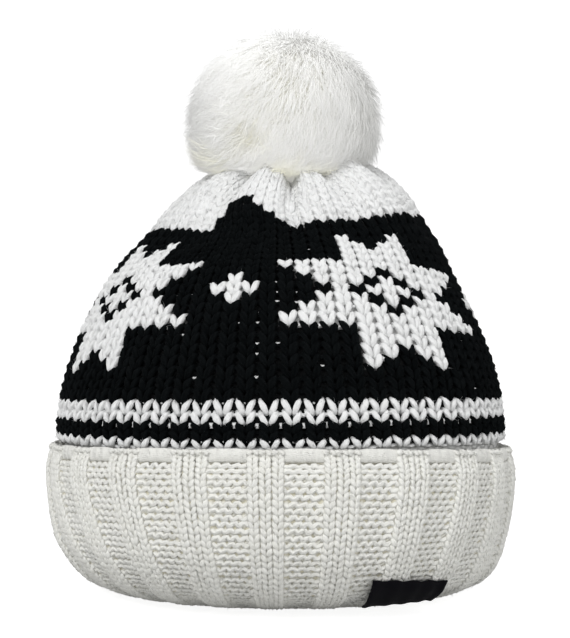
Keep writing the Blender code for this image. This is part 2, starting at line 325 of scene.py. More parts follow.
# %% The crown's surface
BODY_RADIUS = 0.0995
GATHER_HEIGHT = 0.176
JOIN_HEIGHT = 0.060
SLUMP_ANGLE = 12.0
SLUMP_TURN = np.radians(-18.0)
GATHER_FORWARD = 0.012
GATHER_SIDE = 0.003
FOLD_DEPTH = 0.0085
PLEAT_DEPTH = 0.0002
PLEATS = 31.0
CROWN_WALL = 0.0039

# (share of the climb to the gather, share of the radius, slump, lean, fold)
CROWN_ROWS = [
    (0.000, 0.988, 0.00, 0.00, 0.00),
    (0.075, 1.000, 0.00, 0.00, 0.00),
    (0.190, 0.990, 0.00, 0.00, 0.00),
    (0.310, 0.960, 0.00, 0.00, 0.00),
    (0.430, 0.913, 0.00, 0.00, 0.02),
    (0.545, 0.855, 0.02, 0.00, 0.04),
    (0.655, 0.789, 0.12, 0.05, 0.08),
    (0.765, 0.718, 0.45, 0.20, 0.16),
    (0.862, 0.628, 0.80, 0.42, 0.30),
    (0.942, 0.550, 1.00, 0.65, 0.46),
    (1.005, 0.462, 1.00, 0.82, 0.66),
    (1.050, 0.368, 0.90, 0.93, 0.88),
    (1.074, 0.275, 0.75, 1.00, 1.00),
    (1.072, 0.190, 0.55, 1.00, 0.80),
    (1.035, 0.112, 0.40, 1.00, 0.40),
    (1.000, 0.055, 0.35, 1.00, 0.10),
]

# (azimuth, half-width, height) of each puff or valley round the gather
GATHERS = [
    (3, 9, -0.95), (-17, 13, 0.45), (-34, 10, -0.55), (-56, 22, 0.35), (-83, 14, -0.60),
    (-108, 24, 0.50), (-136, 15, -0.85), (-160, 22, 0.45), (178, 14, -0.95), (153, 24, 0.50),
    (124, 14, -0.70), (98, 24, 0.55), (72, 12, -0.45), (52, 20, 0.60), (30, 10, -0.40),
]

crown_climb = GATHER_HEIGHT - JOIN_HEIGHT
crown_table, crown_arcs = lay_profile(CROWN_ROWS, JOIN_HEIGHT, crown_climb, BODY_RADIUS)
CROWN_LENGTH = crown_arcs[-1]


def away_from(azimuth, centre):
    """The angle in degrees between azimuths, from -180 to 180."""
    return (azimuth - centre + 180.0) % 360.0 - 180.0


def gather_height(azimuth):
    """How far the gathers lift the crown's top, as a share of FOLD_DEPTH."""
    total = np.zeros_like(azimuth)
    for centre, width, height in GATHERS:
        away = np.clip(np.abs(away_from(azimuth, centre)) / width, 0.0, 1.0)
        total += height * 0.5 * (1.0 + np.cos(np.pi * away))
    return total


def crown_base(azimuth, arc):
    radius, height, slump, lean, fold, across, up = read_rows(arc, crown_arcs, crown_table)
    turn = np.radians(azimuth)
    pleat = np.sin(PLEATS * turn + 2.0 * np.sin(3.0 * turn))
    lift = FOLD_DEPTH * fold * gather_height(azimuth)
    lift = lift + PLEAT_DEPTH * np.clip(fold, 0.0, 1.0) * pleat
    radius = radius + lift * across
    drop = radius * np.cos(turn - SLUMP_TURN) * np.tan(np.radians(SLUMP_ANGLE * slump))
    x = radius * np.sin(turn) + GATHER_SIDE * lean
    y = -radius * np.cos(turn) - GATHER_FORWARD * lean
    return np.stack([x, y, height + lift * up - drop], axis=-1)


# The small steps, in degrees and in metres, over which a surface's slope is measured
STEP_ROUND = 0.6
STEP_ALONG = 0.0008


def surface_frame(base, azimuth, arc, lift):
    """Places lifted off a surface by lift, and the outward directions there."""
    place = base(azimuth, arc)
    eastward = base(azimuth + STEP_ROUND, arc) - base(azimuth - STEP_ROUND, arc)
    upward = base(azimuth, arc + STEP_ALONG) - base(azimuth, arc - STEP_ALONG)
    outward = unit(np.cross(eastward, upward))
    return place + outward * np.asarray(lift)[..., None], outward


def crown_surface(azimuth, arc, lift):
    return surface_frame(crown_base, azimuth, arc, lift)


print("crown profile:", round(CROWN_LENGTH * 1000, 1), "mm")

# %% The cuff's surface
CUFF_HEIGHT = 0.0630
CUFF_RADIUS = 0.1038
CUFF_FRONT_RISE = 0.0040
CUFF_THICKNESS = 0.0087
RIB_COUNT = 24
RIB_PITCH = 360.0 / RIB_COUNT
RIB_DEPTH = 0.0014
FIRST_GROOVE = 4.5
GROOVE_FLOOR = 2.5
GROOVE_SLOPE = 2.4
FOLD_EDGE_BULGE = 0.0034
RIM_TUCK_HEIGHT = 0.024
TUCK_LEFT = 0.045
FLARE_RIGHT = 0.025
EDGE_DROP_LEFT = 0.0010
EDGE_DROP_RIGHT = 0.0028

# (share of the height, share of the radius, depth over width, front rise, rib), top to rim
CUFF_ROWS = [
    (1.010, 0.9600, 1.00, 0.25, 0.00),
    (1.040, 0.9680, 1.00, 0.25, 0.00),
    (1.026, 0.9780, 1.00, 0.30, 0.05),
    (0.975, 0.9880, 1.00, 0.45, 0.15),
    (0.910, 0.9955, 1.00, 0.65, 0.85),
    (0.840, 1.0000, 1.00, 0.80, 1.00),
    (0.670, 0.9930, 1.00, 0.60, 1.00),
    (0.450, 0.9730, 0.99, 0.30, 1.00),
    (0.270, 0.9380, 0.96, 0.10, 1.00),
    (0.135, 0.8880, 0.91, 0.00, 0.90),
    (0.048, 0.8180, 0.81, 0.00, 0.60),
    (0.000, 0.7350, 0.74, 0.00, 0.00),
    (0.000, 0.6250, 0.74, 0.00, 0.00),
]

cuff_table, cuff_arcs = lay_profile(CUFF_ROWS, 0.0, CUFF_HEIGHT, CUFF_RADIUS, sign=-1.0)
CUFF_LENGTH = cuff_arcs[-1]


def groove_share(azimuth):
    """1 in the middle of a purl panel, 0 on a knit rib."""
    away = np.abs((azimuth - FIRST_GROOVE + RIB_PITCH / 2) % RIB_PITCH - RIB_PITCH / 2)
    return 1.0 - eased(np.clip((away - GROOVE_FLOOR) / GROOVE_SLOPE, 0.0, 1.0))


def rim_tuck(turn, height):
    """The rim's radius varies: low down, the left side is tucked in and the right flares out."""
    low = np.clip(1.0 - height / RIM_TUCK_HEIGHT, 0.0, 1.0)
    side = np.sin(turn)
    return 1.0 + low * np.where(side < 0.0, TUCK_LEFT * side, FLARE_RIGHT * side)


# How far the ribs lean to the right at the cuff's edge and at its rim, in degrees
LEAN_AZIMUTHS = [-150, -75, -52, -35, -15, 0, 15, 27, 42, 65, 110]
LEAN_AT_EDGE = [0.0, -1.5, -2.8, -3.0, -0.8, 0.0, 0.8, 1.9, 3.0, 1.9, 0.0]
LEAN_AT_RIM = [0.0, 10.0, 7.0, 3.5, 1.0, 0.0, -0.3, -1.1, -2.3, -1.0, 0.0]
LEAN_START = 0.010
LEAN_REACH = 0.058


def rib_lean(azimuth, arc):
    """The ribs aren't quite upright: the rim has slipped round a little under the edge."""
    around = away_from(azimuth, 0.0)
    share = eased(np.clip((arc - LEAN_START) / LEAN_REACH, 0.0, 1.0))
    at_edge = np.interp(around, LEAN_AZIMUTHS, LEAN_AT_EDGE)
    return at_edge + (np.interp(around, LEAN_AZIMUTHS, LEAN_AT_RIM) - at_edge) * share


def edge_drop(turn, height):
    """The cuff's edge hangs lower at its sides."""
    high = np.clip(height / CUFF_HEIGHT * 2.0 - 1.0, 0.0, 1.0)
    side = np.sin(turn)
    return high * side * side * np.where(side < 0.0, EDGE_DROP_LEFT, EDGE_DROP_RIGHT)


def cuff_base(azimuth, arc, inset=0.0, rib_sign=1.0):
    radius, height, depth, rise, rib, across, up = read_rows(arc, cuff_arcs, cuff_table)
    turn = np.radians(azimuth + rib_lean(azimuth, arc))
    radius = radius * rim_tuck(turn, height)
    height = height - edge_drop(turn, height)
    sink = inset + rib_sign * RIB_DEPTH * rib * groove_share(azimuth)
    radius = radius - sink * across
    height = height - sink * up + CUFF_FRONT_RISE * rise * np.cos(turn) ** 2
    return np.stack([radius * np.sin(turn), -radius * depth * np.cos(turn), height], axis=-1)


def cuff_surface(azimuth, arc, lift):
    """Arc runs down the cuff from its top edge."""
    place, outward = surface_frame(cuff_base, azimuth, arc, np.zeros_like(arc))
    return place - outward * np.asarray(lift)[..., None], -outward


print("cuff profile:", round(CUFF_LENGTH * 1000, 1), "mm")

# %% [markdown]
# ## One length of yarn
#
# Every visible bit of yarn in the hat is a short soft rod that is fat in its middle and tucks in
# behind its neighbours at both ends. Modelling thousands of them by hand is out of the question,
# so one rod is modelled from a cylinder, cut into rings, and kept as a template. It is then laid
# along thousands of short paths at once, ring by ring, which bends each copy to the hat.

# %% The yarn template
class Template:
    """A rod along +Z from 0 to 1, with a radius of 1, as arrays that can be laid along paths."""

    def __init__(self, sides, cuts, pointed=False):
        bpy.ops.mesh.primitive_cone_add(
            vertices=sides, radius1=1.0, radius2=0.0 if pointed else 1.0, depth=1.0,
            location=(0.0, 0.0, 0.5), end_fill_type="NGON",
        )
        rod = bpy.context.object
        bpy.ops.object.transform_apply(location=True)
        bpy.ops.object.mode_set(mode="EDIT")
        for cut in range(1, cuts + 1):
            height = cut / (cuts + 1)
            bpy.ops.mesh.select_all(action="SELECT")
            bpy.ops.mesh.bisect(plane_co=(0.0, 0.0, height), plane_no=(0.0, 0.0, 1.0))
        bpy.ops.object.mode_set(mode="OBJECT")
        mesh = rod.data
        self.places = np.array([v.co for v in mesh.vertices])
        radius = np.linalg.norm(self.places[:, :2], axis=1)
        self.places[:, :2] /= np.where(radius > 1e-4, radius, 1.0)[:, None]
        self.rings = np.rint(self.places[:, 2] * (cuts + 1)).astype(int)
        self.count = cuts + 2
        self.totals = np.array([len(p.vertices) for p in mesh.polygons])
        self.loops = np.concatenate([list(p.vertices) for p in mesh.polygons])
        turns = np.arctan2(self.places[:, 1], self.places[:, 0]) / FULL_TURN % 1.0
        around = []
        for face in mesh.polygons:
            share = turns[list(face.vertices)]
            around.append(np.where((share < 0.25) & (share.max() > 0.75), share + 1.0, share))
        along = self.places[self.loops, 2]
        self.uv = np.stack([np.concatenate(around), along], axis=1)
        bpy.data.objects.remove(rod, do_unlink=True)

    def triangles(self):
        return int(np.sum(self.totals - 2))


LEG_ROD = Template(sides=6, cuts=3)
DARK_LEG_ROD = Template(sides=5, cuts=3)
FINE_ROD = Template(sides=5, cuts=2)
BAR_ROD = Template(sides=4, cuts=1)
print("triangles of one rod:", [rod.triangles() for rod in (LEG_ROD, FINE_ROD, BAR_ROD)])


# %% Laying the template along paths
def lay_rods(rod, paths, outward, radii, flatten=1.0):
    """Copies of a rod on paths (n, rings, 3): radii (n, rings), flatten is height over width."""
    along = unit(np.gradient(paths, axis=1))
    side = unit(np.cross(outward, along))
    out = np.cross(along, side)
    ring = rod.rings
    across = rod.places[:, 0][None, :, None]
    up = rod.places[:, 1][None, :, None] * flatten
    offsets = (side[:, ring] * across + out[:, ring] * up) * radii[:, ring, None]
    return paths[:, ring] + offsets


def add_mesh(name, places, loops, totals, uv, shade):
    """A mesh object from flat arrays, with a UV map and a shade for each vertex."""
    mesh = bpy.data.meshes.new(name)
    mesh.vertices.add(len(places))
    mesh.vertices.foreach_set("co", np.ascontiguousarray(places, np.float32).ravel())
    mesh.loops.add(len(loops))
    mesh.loops.foreach_set("vertex_index", np.ascontiguousarray(loops, np.int32))
    mesh.polygons.add(len(totals))
    starts = np.concatenate([[0], np.cumsum(totals)[:-1]]).astype(np.int32)
    mesh.polygons.foreach_set("loop_start", starts)
    mesh.update(calc_edges=True)
    mesh.polygons.foreach_set("use_smooth", np.ones(len(totals), bool))
    layer = mesh.uv_layers.new(name="yarn")
    layer.data.foreach_set("uv", np.ascontiguousarray(uv, np.float32).ravel())
    attribute = mesh.attributes.new("shade", "FLOAT", "POINT")
    attribute.data.foreach_set("value", np.ascontiguousarray(shade, np.float32))
    mesh.validate()
    piece = bpy.data.objects.new(name, mesh)
    bpy.context.scene.collection.objects.link(piece)
    return piece


FLOOR_REST = 0.0001


def add_rods(name, rod, places, shade):
    """One joined mesh of laid rods; shade is one value for each rod."""
    count, size = places.shape[:2]
    flat = places.reshape(-1, 3).copy()
    flat[:, 2] = np.maximum(flat[:, 2], FLOOR_REST)
    loops = (rod.loops[None, :] + size * np.arange(count)[:, None]).ravel()
    piece = add_mesh(
        name, flat, loops, np.tile(rod.totals, count),
        np.tile(rod.uv, (count, 1)), np.repeat(shade, size),
    )
    print(name, "-", count, "rods,", count * rod.triangles(), "triangles")
    return piece


rng = np.random.default_rng(27)

# %% [markdown]
# ## The colour chart
#
# A stranded pattern is knitted from a chart: a grid that says which of the two yarns each stitch
# takes. It repeats four times round the hat, every 18 stitches: a large eight-armed star with a
# small dark diamond at its heart, and a small cross between the stars. Below them run a white
# stripe of two rows and, just above the cuff, the first white row. Above the stars the crown is
# white, but for a tall black peak in front and another behind. The chart is written as a rule for
# each row, counted downwards from the star's centre.

# %% The chart
COLUMNS = 72
REPEAT = 18
COLUMN_PITCH = 360.0 / COLUMNS
STAR_AZIMUTH = 32.15
COLUMN_LEAN = 0.10
ROW_PITCH = 0.0043
STRIPE_ROW = 12
STRIPE_HEIGHT = 0.0771
FIRST_ROW = 15
FIRST_ROW_HEIGHT = 0.0676
TOP_BLACK_ROW = -9
WHITE_ROWS = (11, 12, 15)
UNDER_POMPOM = 0.018

# The star's white stitches in each row: how many columns from its centre they begin and end
STAR_ROWS = {
    7: (2, 2), 6: (1, 2), 5: (0, 2), 4: (0, 2), 3: (0, 6), 2: (0, 5), 1: (0, 4), 0: (0, 3),
}
DIAMOND = {(0, 2), (1, 1), (2, 0)}
CROSS = {(0, 0), (0, 1), (1, 0)}
PEAK_ROWS = {-10: (-3, 3), -11: (-3, 2), -12: (-2, 1), -13: (-2, 0)}


def is_white(column, row):
    """Whether the stitch is white; column 0 is a star's centre."""
    across = (column + REPEAT // 2) % REPEAT - REPEAT // 2
    beside = column % REPEAT - REPEAT // 2
    if row < TOP_BLACK_ROW:
        low, high = PEAK_ROWS.get(row, (1, 0))
        has_peak = column % (2 * REPEAT) >= REPEAT
        return not (has_peak and low <= beside <= high)
    if row in WHITE_ROWS:
        return True
    if abs(row) in STAR_ROWS:
        first, last = STAR_ROWS[abs(row)]
        if first <= abs(across) <= last and (abs(row), abs(across)) not in DIAMOND:
            return True
    return (abs(row), abs(beside)) in CROSS


lower = slice(len(crown_table) // 2)
arc_of_stripe = np.interp(STRIPE_HEIGHT, crown_table[lower, 1], crown_arcs[lower])
arc_of_first = np.interp(FIRST_ROW_HEIGHT, crown_table[lower, 1], crown_arcs[lower])
TOP_ROW = int(STRIPE_ROW - (CROWN_LENGTH - UNDER_POMPOM - arc_of_stripe) // ROW_PITCH)
print("rows of the crown:", FIRST_ROW - TOP_ROW + 1)


# %% [markdown]
# ### How the knitting sags
#
# On a real hat the rows aren't level circles. This one was pulled up a little at the front and
# slumps at the sides, and near the gather its columns lean. Two small tables say how far: a line
# for each row of the chart and a column for each azimuth in SAG_AZIMUTHS, and what lies between
# is blended. They move the pattern along the surface, not the surface itself.

# %% The knitting's sag and lean
SAG_ROWS = [-23, -13, -9.5, -7, -3, 3, 7, 12, 16]
SAG_AZIMUTHS = [-110, -60, -30, 0, 30, 60, 110]
# How far each place is pulled up, in millimetres
PULLED_UP = [
    (0.0, 0.0, 0.0, 0.0, 0.0, 0.0, 0.0),
    (0.0, 2.4, 2.6, 2.4, 3.6, 3.4, 0.0),
    (0.0, 3.2, 4.0, 5.2, 4.7, 4.0, 0.0),
    (0.0, -1.0, 1.5, 2.6, 1.0, -2.0, 0.0),
    (0.0, -1.2, 1.1, 2.3, 0.6, -3.6, 0.0),
    (0.0, -2.0, -0.6, 0.0, -0.3, -2.8, 0.0),
    (0.0, -2.0, -0.6, 0.0, -0.6, -1.8, 0.0),
    (0.0, -1.0, -1.0, -0.8, 0.1, 0.3, 0.0),
    (0.0, -0.9, -0.9, -0.7, 0.0, -0.9, -0.9),
]
# How far each place leans to the right, in degrees
LEANED = [
    (0.0, 0.0, 0.0, 0.0, 0.0, 0.0, 0.0),
    (0.0, 5.0, -2.2, -3.2, 0.2, 7.0, 3.0),
    (0.0, 8.8, 2.6, -0.6, 0.3, 5.0, 2.0),
    (0.0, 9.6, 4.4, 0.2, 0.4, 0.5, 0.0),
    (0.0, 6.2, 3.0, 0.4, 0.3, 0.4, 0.0),
    (0.0, 5.0, 1.9, 0.5, 0.0, -0.6, 0.0),
    (0.0, 4.4, 1.6, 0.2, 0.2, 0.2, 0.0),
    (0.0, 0.2, 0.2, 0.2, 0.0, 0.0, 0.0),
    (0.0, 0.2, 0.2, 0.2, 0.0, 0.0, 0.0),
]


def blend(table, row, azimuth):
    """Reads a sag table at rows and azimuths that may lie between its own."""
    around = away_from(np.asarray(azimuth, float), 0.0)
    row, around = np.broadcast_arrays(np.asarray(row, float), around)
    total = np.zeros(row.shape)
    for line, own in zip(np.array(table).T, np.eye(len(SAG_AZIMUTHS))):
        weight = eased(np.interp(around, SAG_AZIMUTHS, own))
        total += weight * np.interp(row, SAG_ROWS, line)
    return total


def column_azimuth(column, row):
    level = STAR_AZIMUTH + COLUMN_PITCH * column - COLUMN_LEAN * (STRIPE_ROW - row)
    return level + blend(LEANED, row, level)


def row_arc(row, azimuth):
    """Where a row lies along the crown's profile at an azimuth; row may be a fraction."""
    above = arc_of_stripe + (STRIPE_ROW - row) * ROW_PITCH
    share = (STRIPE_ROW - row) / (STRIPE_ROW - FIRST_ROW)
    below = arc_of_stripe + share * (arc_of_first - arc_of_stripe)
    return np.where(row > STRIPE_ROW, below, above) + 0.001 * blend(PULLED_UP, row, azimuth)


def crown_arc(row, azimuth, foot=0.0005, top=0.0005):
    """row_arc, kept so far inside the crown's lower and upper ends."""
    return np.clip(row_arc(row, azimuth), foot, CROWN_LENGTH - top)


def column_width(arc):
    return np.interp(arc, crown_arcs, crown_table[:, 0]) * np.radians(COLUMN_PITCH)


# %% [markdown]
# ## The crown's stitches
#
# A knit stitch shows two legs that make a V. Its foot comes up out of the stitch below and its
# head is held behind the feet of the stitch above, so each leg is highest in its middle and dips
# at both ends. Seen close, it is these overlaps that make knitting look like knitting, which no
# bump on a smooth shell gives, so the legs are real rods. White and black yarn are separate
# pieces, because each has its own finish.

# %% Legs of the crown's stitches
# (across in columns, up in rows, out in yarn radii, thickness) along the right leg of a V
LEG_PATH = np.array([
    (0.064, -0.67, -1.10, 0.62),
    (0.112, -0.36, -0.02, 0.97),
    (0.205, 0.12, 0.34, 1.12),
    (0.308, 0.54, 0.04, 0.98),
    (0.366, 0.87, -1.10, 0.52),
])
YARN_RADIUS = 0.00136
YARN_SINK = 0.00150
UNEVEN_RADIUS = 0.07
UNEVEN_PLACE = 0.00007
STRIPE_SLIM = 0.13
STRIPE_SHORT = 0.10
SIDE_SHARE = 0.232
# How many rows the change from the pattern to the plain top takes
PLAIN_ROWS = 3.0


def upright(*values):
    """Arrays with a value for each rod, turned so that they spread over its rings."""
    return [np.asarray(value, float)[:, None] for value in values]


def uneven(places, radii):
    """Spun yarn is never even: small random shifts and swellings at every ring."""
    swollen = radii * (1.0 + UNEVEN_RADIUS * rng.normal(0.0, 1.0, radii.shape))
    return places + UNEVEN_PLACE * rng.normal(0.0, 1.0, places.shape), swollen


def leg_places(rod, columns, rows, sides):
    """Legs of stitches at (column, row); side is 1 for a right leg and -1 for a left one."""
    columns, rows, sides = upright(columns, rows, sides)
    wander = rng.normal(0.0, 1.0, (len(columns), 4))
    across, up, out, thick = LEG_PATH.T
    stripe = np.isin(rows, WHITE_ROWS)
    up = up[None, :] * (1.0 + 0.03 * wander[:, :1]) + 0.035 * wander[:, 1:2]
    up = up * (1.0 - STRIPE_SHORT * stripe)
    across = sides * (across[None, :] + 0.02 * stripe) + 0.012 * wander[:, 2:3]
    level = rows - up
    azimuth = column_azimuth(columns, level) + COLUMN_PITCH * across
    arc = crown_arc(level, azimuth)
    plain = np.clip((TOP_BLACK_ROW - 1 - rows) / PLAIN_ROWS, 0.0, 1.0)
    widest = (SIDE_SHARE + 0.06 * plain) * column_width(arc)
    radii = np.minimum(YARN_RADIUS, widest) * thick[None, :]
    radii = radii * (1.0 + 0.05 * wander[:, 3:4]) * (1.0 - STRIPE_SLIM * stripe)
    full = radii / thick[None, :]
    lift = out[None, :] * full * (1.0 - 0.4 * plain) - YARN_SINK * (1.0 - 0.25 * plain)
    places, outward = crown_surface(azimuth, arc, lift + 0.00012 * wander[:, 1:2])
    places, radii = uneven(places, radii)
    return lay_rods(rod, places, outward, radii, flatten=0.9)


stitches = [(c, r) for r in range(FIRST_ROW, TOP_ROW - 1, -1) for c in range(COLUMNS)]
white_body = [s for s in stitches if is_white(*s) and s[1] >= TOP_BLACK_ROW]
white_top = [s for s in stitches if is_white(*s) and s[1] < TOP_BLACK_ROW]
black_body = [s for s in stitches if not is_white(*s)]


def add_stitches(name, rod, chosen):
    columns, rows = np.array(chosen).T
    both = np.concatenate([columns, columns]), np.concatenate([rows, rows])
    sides = np.repeat([1, -1], len(chosen))
    places = leg_places(rod, *both, sides)
    return add_rods(name, rod, places, rng.random(len(sides)))


crown_pieces = {
    "white_pattern_stitches": add_stitches("white_pattern_stitches", LEG_ROD, white_body),
    "white_crown_stitches": add_stitches("white_crown_stitches", LEG_ROD, white_top),
    "black_stitches": add_stitches("black_stitches", DARK_LEG_ROD, black_body),
}

# %% [markdown]
# ## Sinker bars, floats and the fabric behind
#
# Between two columns of stitches the yarn runs across behind their feet, and in stranded knitting
# the yarn that isn't in use floats behind the others. Both show as small bars in the dark gaps:
# white ones under the stripe, and now and then a white speck in the black. They are short rods
# laid a little deeper than the legs. Behind them a shell closes the fabric, and it is the plain
# inside of the hat as well.

# %% Bars between the columns
BAR_DEPTH = 0.0021
BAR_RADIUS = 0.00112
BAR_HALF = 0.30
BAR_LEVEL = 0.46
BAR_SAG = 0.10
STRIPE_BAR = 0.7
FLOAT_DEPTH = 0.0018
FLOAT_RADIUS = 0.00062
FLOAT_HALF = 0.10
FLOAT_LEVEL = 0.30
FLOAT_ROWS = range(-7, 10)
# How often black yarn shows a white float behind it: beside white stitches, and away from them
FLOAT_CHANCES = (0.40, 0.10)
STRIPE_FLOATS = (10.45, 14.45)
STRIPE_FLOAT_CHANCE = 0.75


def add_bars(name, chosen, half, depth, radius):
    """Bars across the middle of each place; a column and a half is the gap right of it."""
    columns, rows = upright(*np.array(chosen, float).T)
    share = np.array([-1.0, 0.0, 1.0])[None, :]
    jitter = rng.normal(0.0, 1.0, (len(columns), 2))
    level = rows + BAR_SAG * (1.0 - share ** 2) + 0.05 * jitter[:, :1]
    azimuth = column_azimuth(columns, level) + COLUMN_PITCH * half * share
    arc = crown_arc(level, azimuth)
    slim = np.where(rows > min(WHITE_ROWS) - 1, STRIPE_BAR, 1.0)
    radii = slim * np.minimum(radius, 0.13 * column_width(arc)) * np.array([0.8, 1.0, 0.8])[None, :]
    lift = -depth * np.ones_like(arc) - 0.0003 * np.abs(share) + 0.00015 * jitter[:, 1:]
    places = lay_rods(BAR_ROD, *crown_surface(azimuth, arc, lift), radii)
    return add_rods(name, BAR_ROD, places, rng.random(len(chosen)))


white_bars = [(c + 0.5, r + BAR_LEVEL) for c, r in white_body if is_white(c + 1, r)]
black_bars = [(c + 0.5, r + BAR_LEVEL) for c, r in black_body if not is_white(c + 1, r)]
floats = []
for column in range(COLUMNS):
    for row in FLOAT_ROWS:
        near = [is_white(column + k, row) for k in (-2, -1, 0, 1, 2, 3)]
        chance = FLOAT_CHANCES[0] if any(near) else FLOAT_CHANCES[1]
        if not (near[2] or near[3]) and rng.random() < chance:
            floats.append((column + 0.5, row + FLOAT_LEVEL))
    floats += [(column, row) for row in STRIPE_FLOATS if rng.random() < STRIPE_FLOAT_CHANCE]

for name, chosen, half, depth, radius in (
    ("white_bars", white_bars, BAR_HALF, BAR_DEPTH, BAR_RADIUS),
    ("black_bars", black_bars, BAR_HALF, BAR_DEPTH, BAR_RADIUS),
    ("white_floats", floats, FLOAT_HALF, FLOAT_DEPTH, FLOAT_RADIUS),
):
    crown_pieces[name] = add_bars(name, chosen, half, depth, radius)

# %% [markdown]
# Under the stripe the white yarn's short upright ends show in the gaps between the columns, as
# small drops that are thicker at their feet.

# %% Drops under the stripe
DROP_ROW = 12.62
DROP_DEPTH = 0.0018
DROP_UP = np.array([[0.30, 0.0, -0.34]])
DROP_RADII = np.array([[0.00026, 0.00048, 0.00070]])

level = DROP_ROW - DROP_UP
azimuth = column_azimuth(np.arange(COLUMNS)[:, None] + 0.5, level)
arc = row_arc(level, azimuth)
places, outward = crown_surface(azimuth, arc, np.full(arc.shape, -DROP_DEPTH))
drops = lay_rods(BAR_ROD, places, outward, DROP_RADII * rng.uniform(0.75, 1.1, (COLUMNS, 1)))
crown_pieces["stripe_drops"] = add_rods("stripe_drops", BAR_ROD, drops, rng.random(COLUMNS))

# %% [markdown]
# ### The fabric behind the stitches
#
# The shell could be a copy of the CAD crown, but its outer face has to lie just under the legs
# and its inner face carries the hat's reverse side. It is a grid of rings, carried from the lower
# edge up the outside to the gather and back down the inside, closed into one skin.

# %% A closed skin from rings
def ring_skin(name, rings, uv_rows, columns, shade):
    """Rings of as many places each, joined in order and closed from the last to the first."""
    rings = np.array(rings)
    count, size = rings.shape[:2]
    flat = rings.reshape(-1, 3)
    flat[:, 2] = np.maximum(flat[:, 2], FLOOR_REST)
    k, s = np.divmod(np.arange(count * size), size)
    row, row_after = k * size, (k + 1) % count * size
    right = (s + 1) % size
    loops = np.stack([row + s, row + right, row_after + right, row_after + s], axis=1)
    row_ends = np.append(uv_rows, uv_rows[-1] + 1.0)
    u = np.stack([s, s + 1, s + 1, s], axis=1) * (columns / size)
    v = np.stack([row_ends[k], row_ends[k], row_ends[k + 1], row_ends[k + 1]], axis=1)
    uv = np.stack([u, v], axis=2).reshape(-1, 2)
    piece = add_mesh(name, flat, loops.ravel(), np.full(len(loops), 4), uv, shade)
    bpy.ops.object.select_all(action="DESELECT")
    piece.select_set(True)
    bpy.context.view_layer.objects.active = piece
    bpy.ops.object.mode_set(mode="EDIT")
    bpy.ops.mesh.select_all(action="SELECT")
    bpy.ops.mesh.normals_make_consistent(inside=False)
    if bmesh.from_edit_mesh(piece.data).calc_volume(signed=True) < 0.0:
        bpy.ops.mesh.flip_normals()
    bpy.ops.object.mode_set(mode="OBJECT")
    piece.select_set(False)
    print(name, "-", 2 * len(loops), "triangles")
    return piece


SHELL_COLUMNS = 2 * COLUMNS
STAR_DEPTH = 0.0030
PLAIN_DEPTH = 0.0009
LINING_DEPTH = CROWN_WALL + 0.0012
INNER_RINGS = 18
# The fabric starts this many rows under the first row and is white there
LOWER_ROWS = 1.6
HIDDEN_ROWS = 0.3
STAR_SHADE = 0.92
GATHER_MARGIN = 0.004
# Where the UV map's rows of the inside begin, well away from those of the outside
INSIDE_ROWS = 80.0


def shell_depth(level):
    """How far under the surface the fabric lies: deeper in the pattern than in the plain top."""
    plain = np.clip((TOP_BLACK_ROW - level) / PLAIN_ROWS, 0.0, 1.0)
    return STAR_DEPTH + (PLAIN_DEPTH - STAR_DEPTH) * plain


def fabric_shade(level):
    """0 where the yarn behind is black, 1 where it is white, at every half column of a row."""
    if level > FIRST_ROW + HIDDEN_ROWS:
        return np.ones(SHELL_COLUMNS)
    row = int(round(level))
    whites = np.array([is_white(column, row) for column in range(COLUMNS)], float)
    between = whites * np.roll(whites, -1)
    shade = np.stack([whites, between], axis=1).ravel()
    if row in WHITE_ROWS:
        return 0.0 * shade
    return shade if row < TOP_BLACK_ROW else STAR_SHADE * shade


def shell_ring(level, depth):
    """One ring of the fabric at a row, so far under the surface."""
    azimuths = column_azimuth(np.arange(SHELL_COLUMNS) / 2.0, level)
    arc = crown_arc(level, azimuths, 0.0003, 0.001)
    return crown_surface(azimuths, arc, np.full(SHELL_COLUMNS, -depth))[0]


gather_level = STRIPE_ROW - (CROWN_LENGTH - GATHER_MARGIN - arc_of_stripe) / ROW_PITCH
levels = np.arange(FIRST_ROW + LOWER_ROWS, gather_level, -0.5)
inner_levels = np.linspace(levels[-1], levels[0], INNER_RINGS)
rings = [shell_ring(level, shell_depth(level)) for level in levels]
rings += [shell_ring(level, LINING_DEPTH) for level in inner_levels]
shades = [fabric_shade(level) for level in levels] + [np.ones(SHELL_COLUMNS)] * INNER_RINGS
crown_shell = ring_skin(
    "crown_fabric", rings, np.concatenate([-levels, INSIDE_ROWS + inner_levels]),
    COLUMNS, np.concatenate(shades),
)
crown_pieces["crown_fabric"] = crown_shell

# %% [markdown]
# ## The cuff's ribbing
#
# The cuff is knitted finer, three knit columns then three purl columns all the way round. A knit
# column shows V legs again. A purl column shows the other side of the same stitch: the heads and
# feet of the loops, which link up into wavy lines across the panel. Each row of a panel is one
# wavy length of yarn, because that is how the yarn runs there. The knit ribs stand proud of the
# purl panels, as rib does when it is not stretched. The ribs run a few rows up over the cuff's
# folded edge, and the purl rows end under it.

# %% Knit ribs
FINE_PITCH = 2.5
FINE_ROW = 0.00235
BAND_ARC = 0.0098
EDGE_SINK = 0.0008
FINE_RADIUS = 0.00102
FINE_SINK = 0.00105
# The same four numbers along a leg as in LEG_PATH
FINE_PATH = np.array([
    (0.09, -0.62, -0.75, 0.80),
    (0.18, -0.12, 0.10, 1.05),
    (0.30, 0.42, 0.10, 1.05),
    (0.37, 0.92, -0.75, 0.78),
])
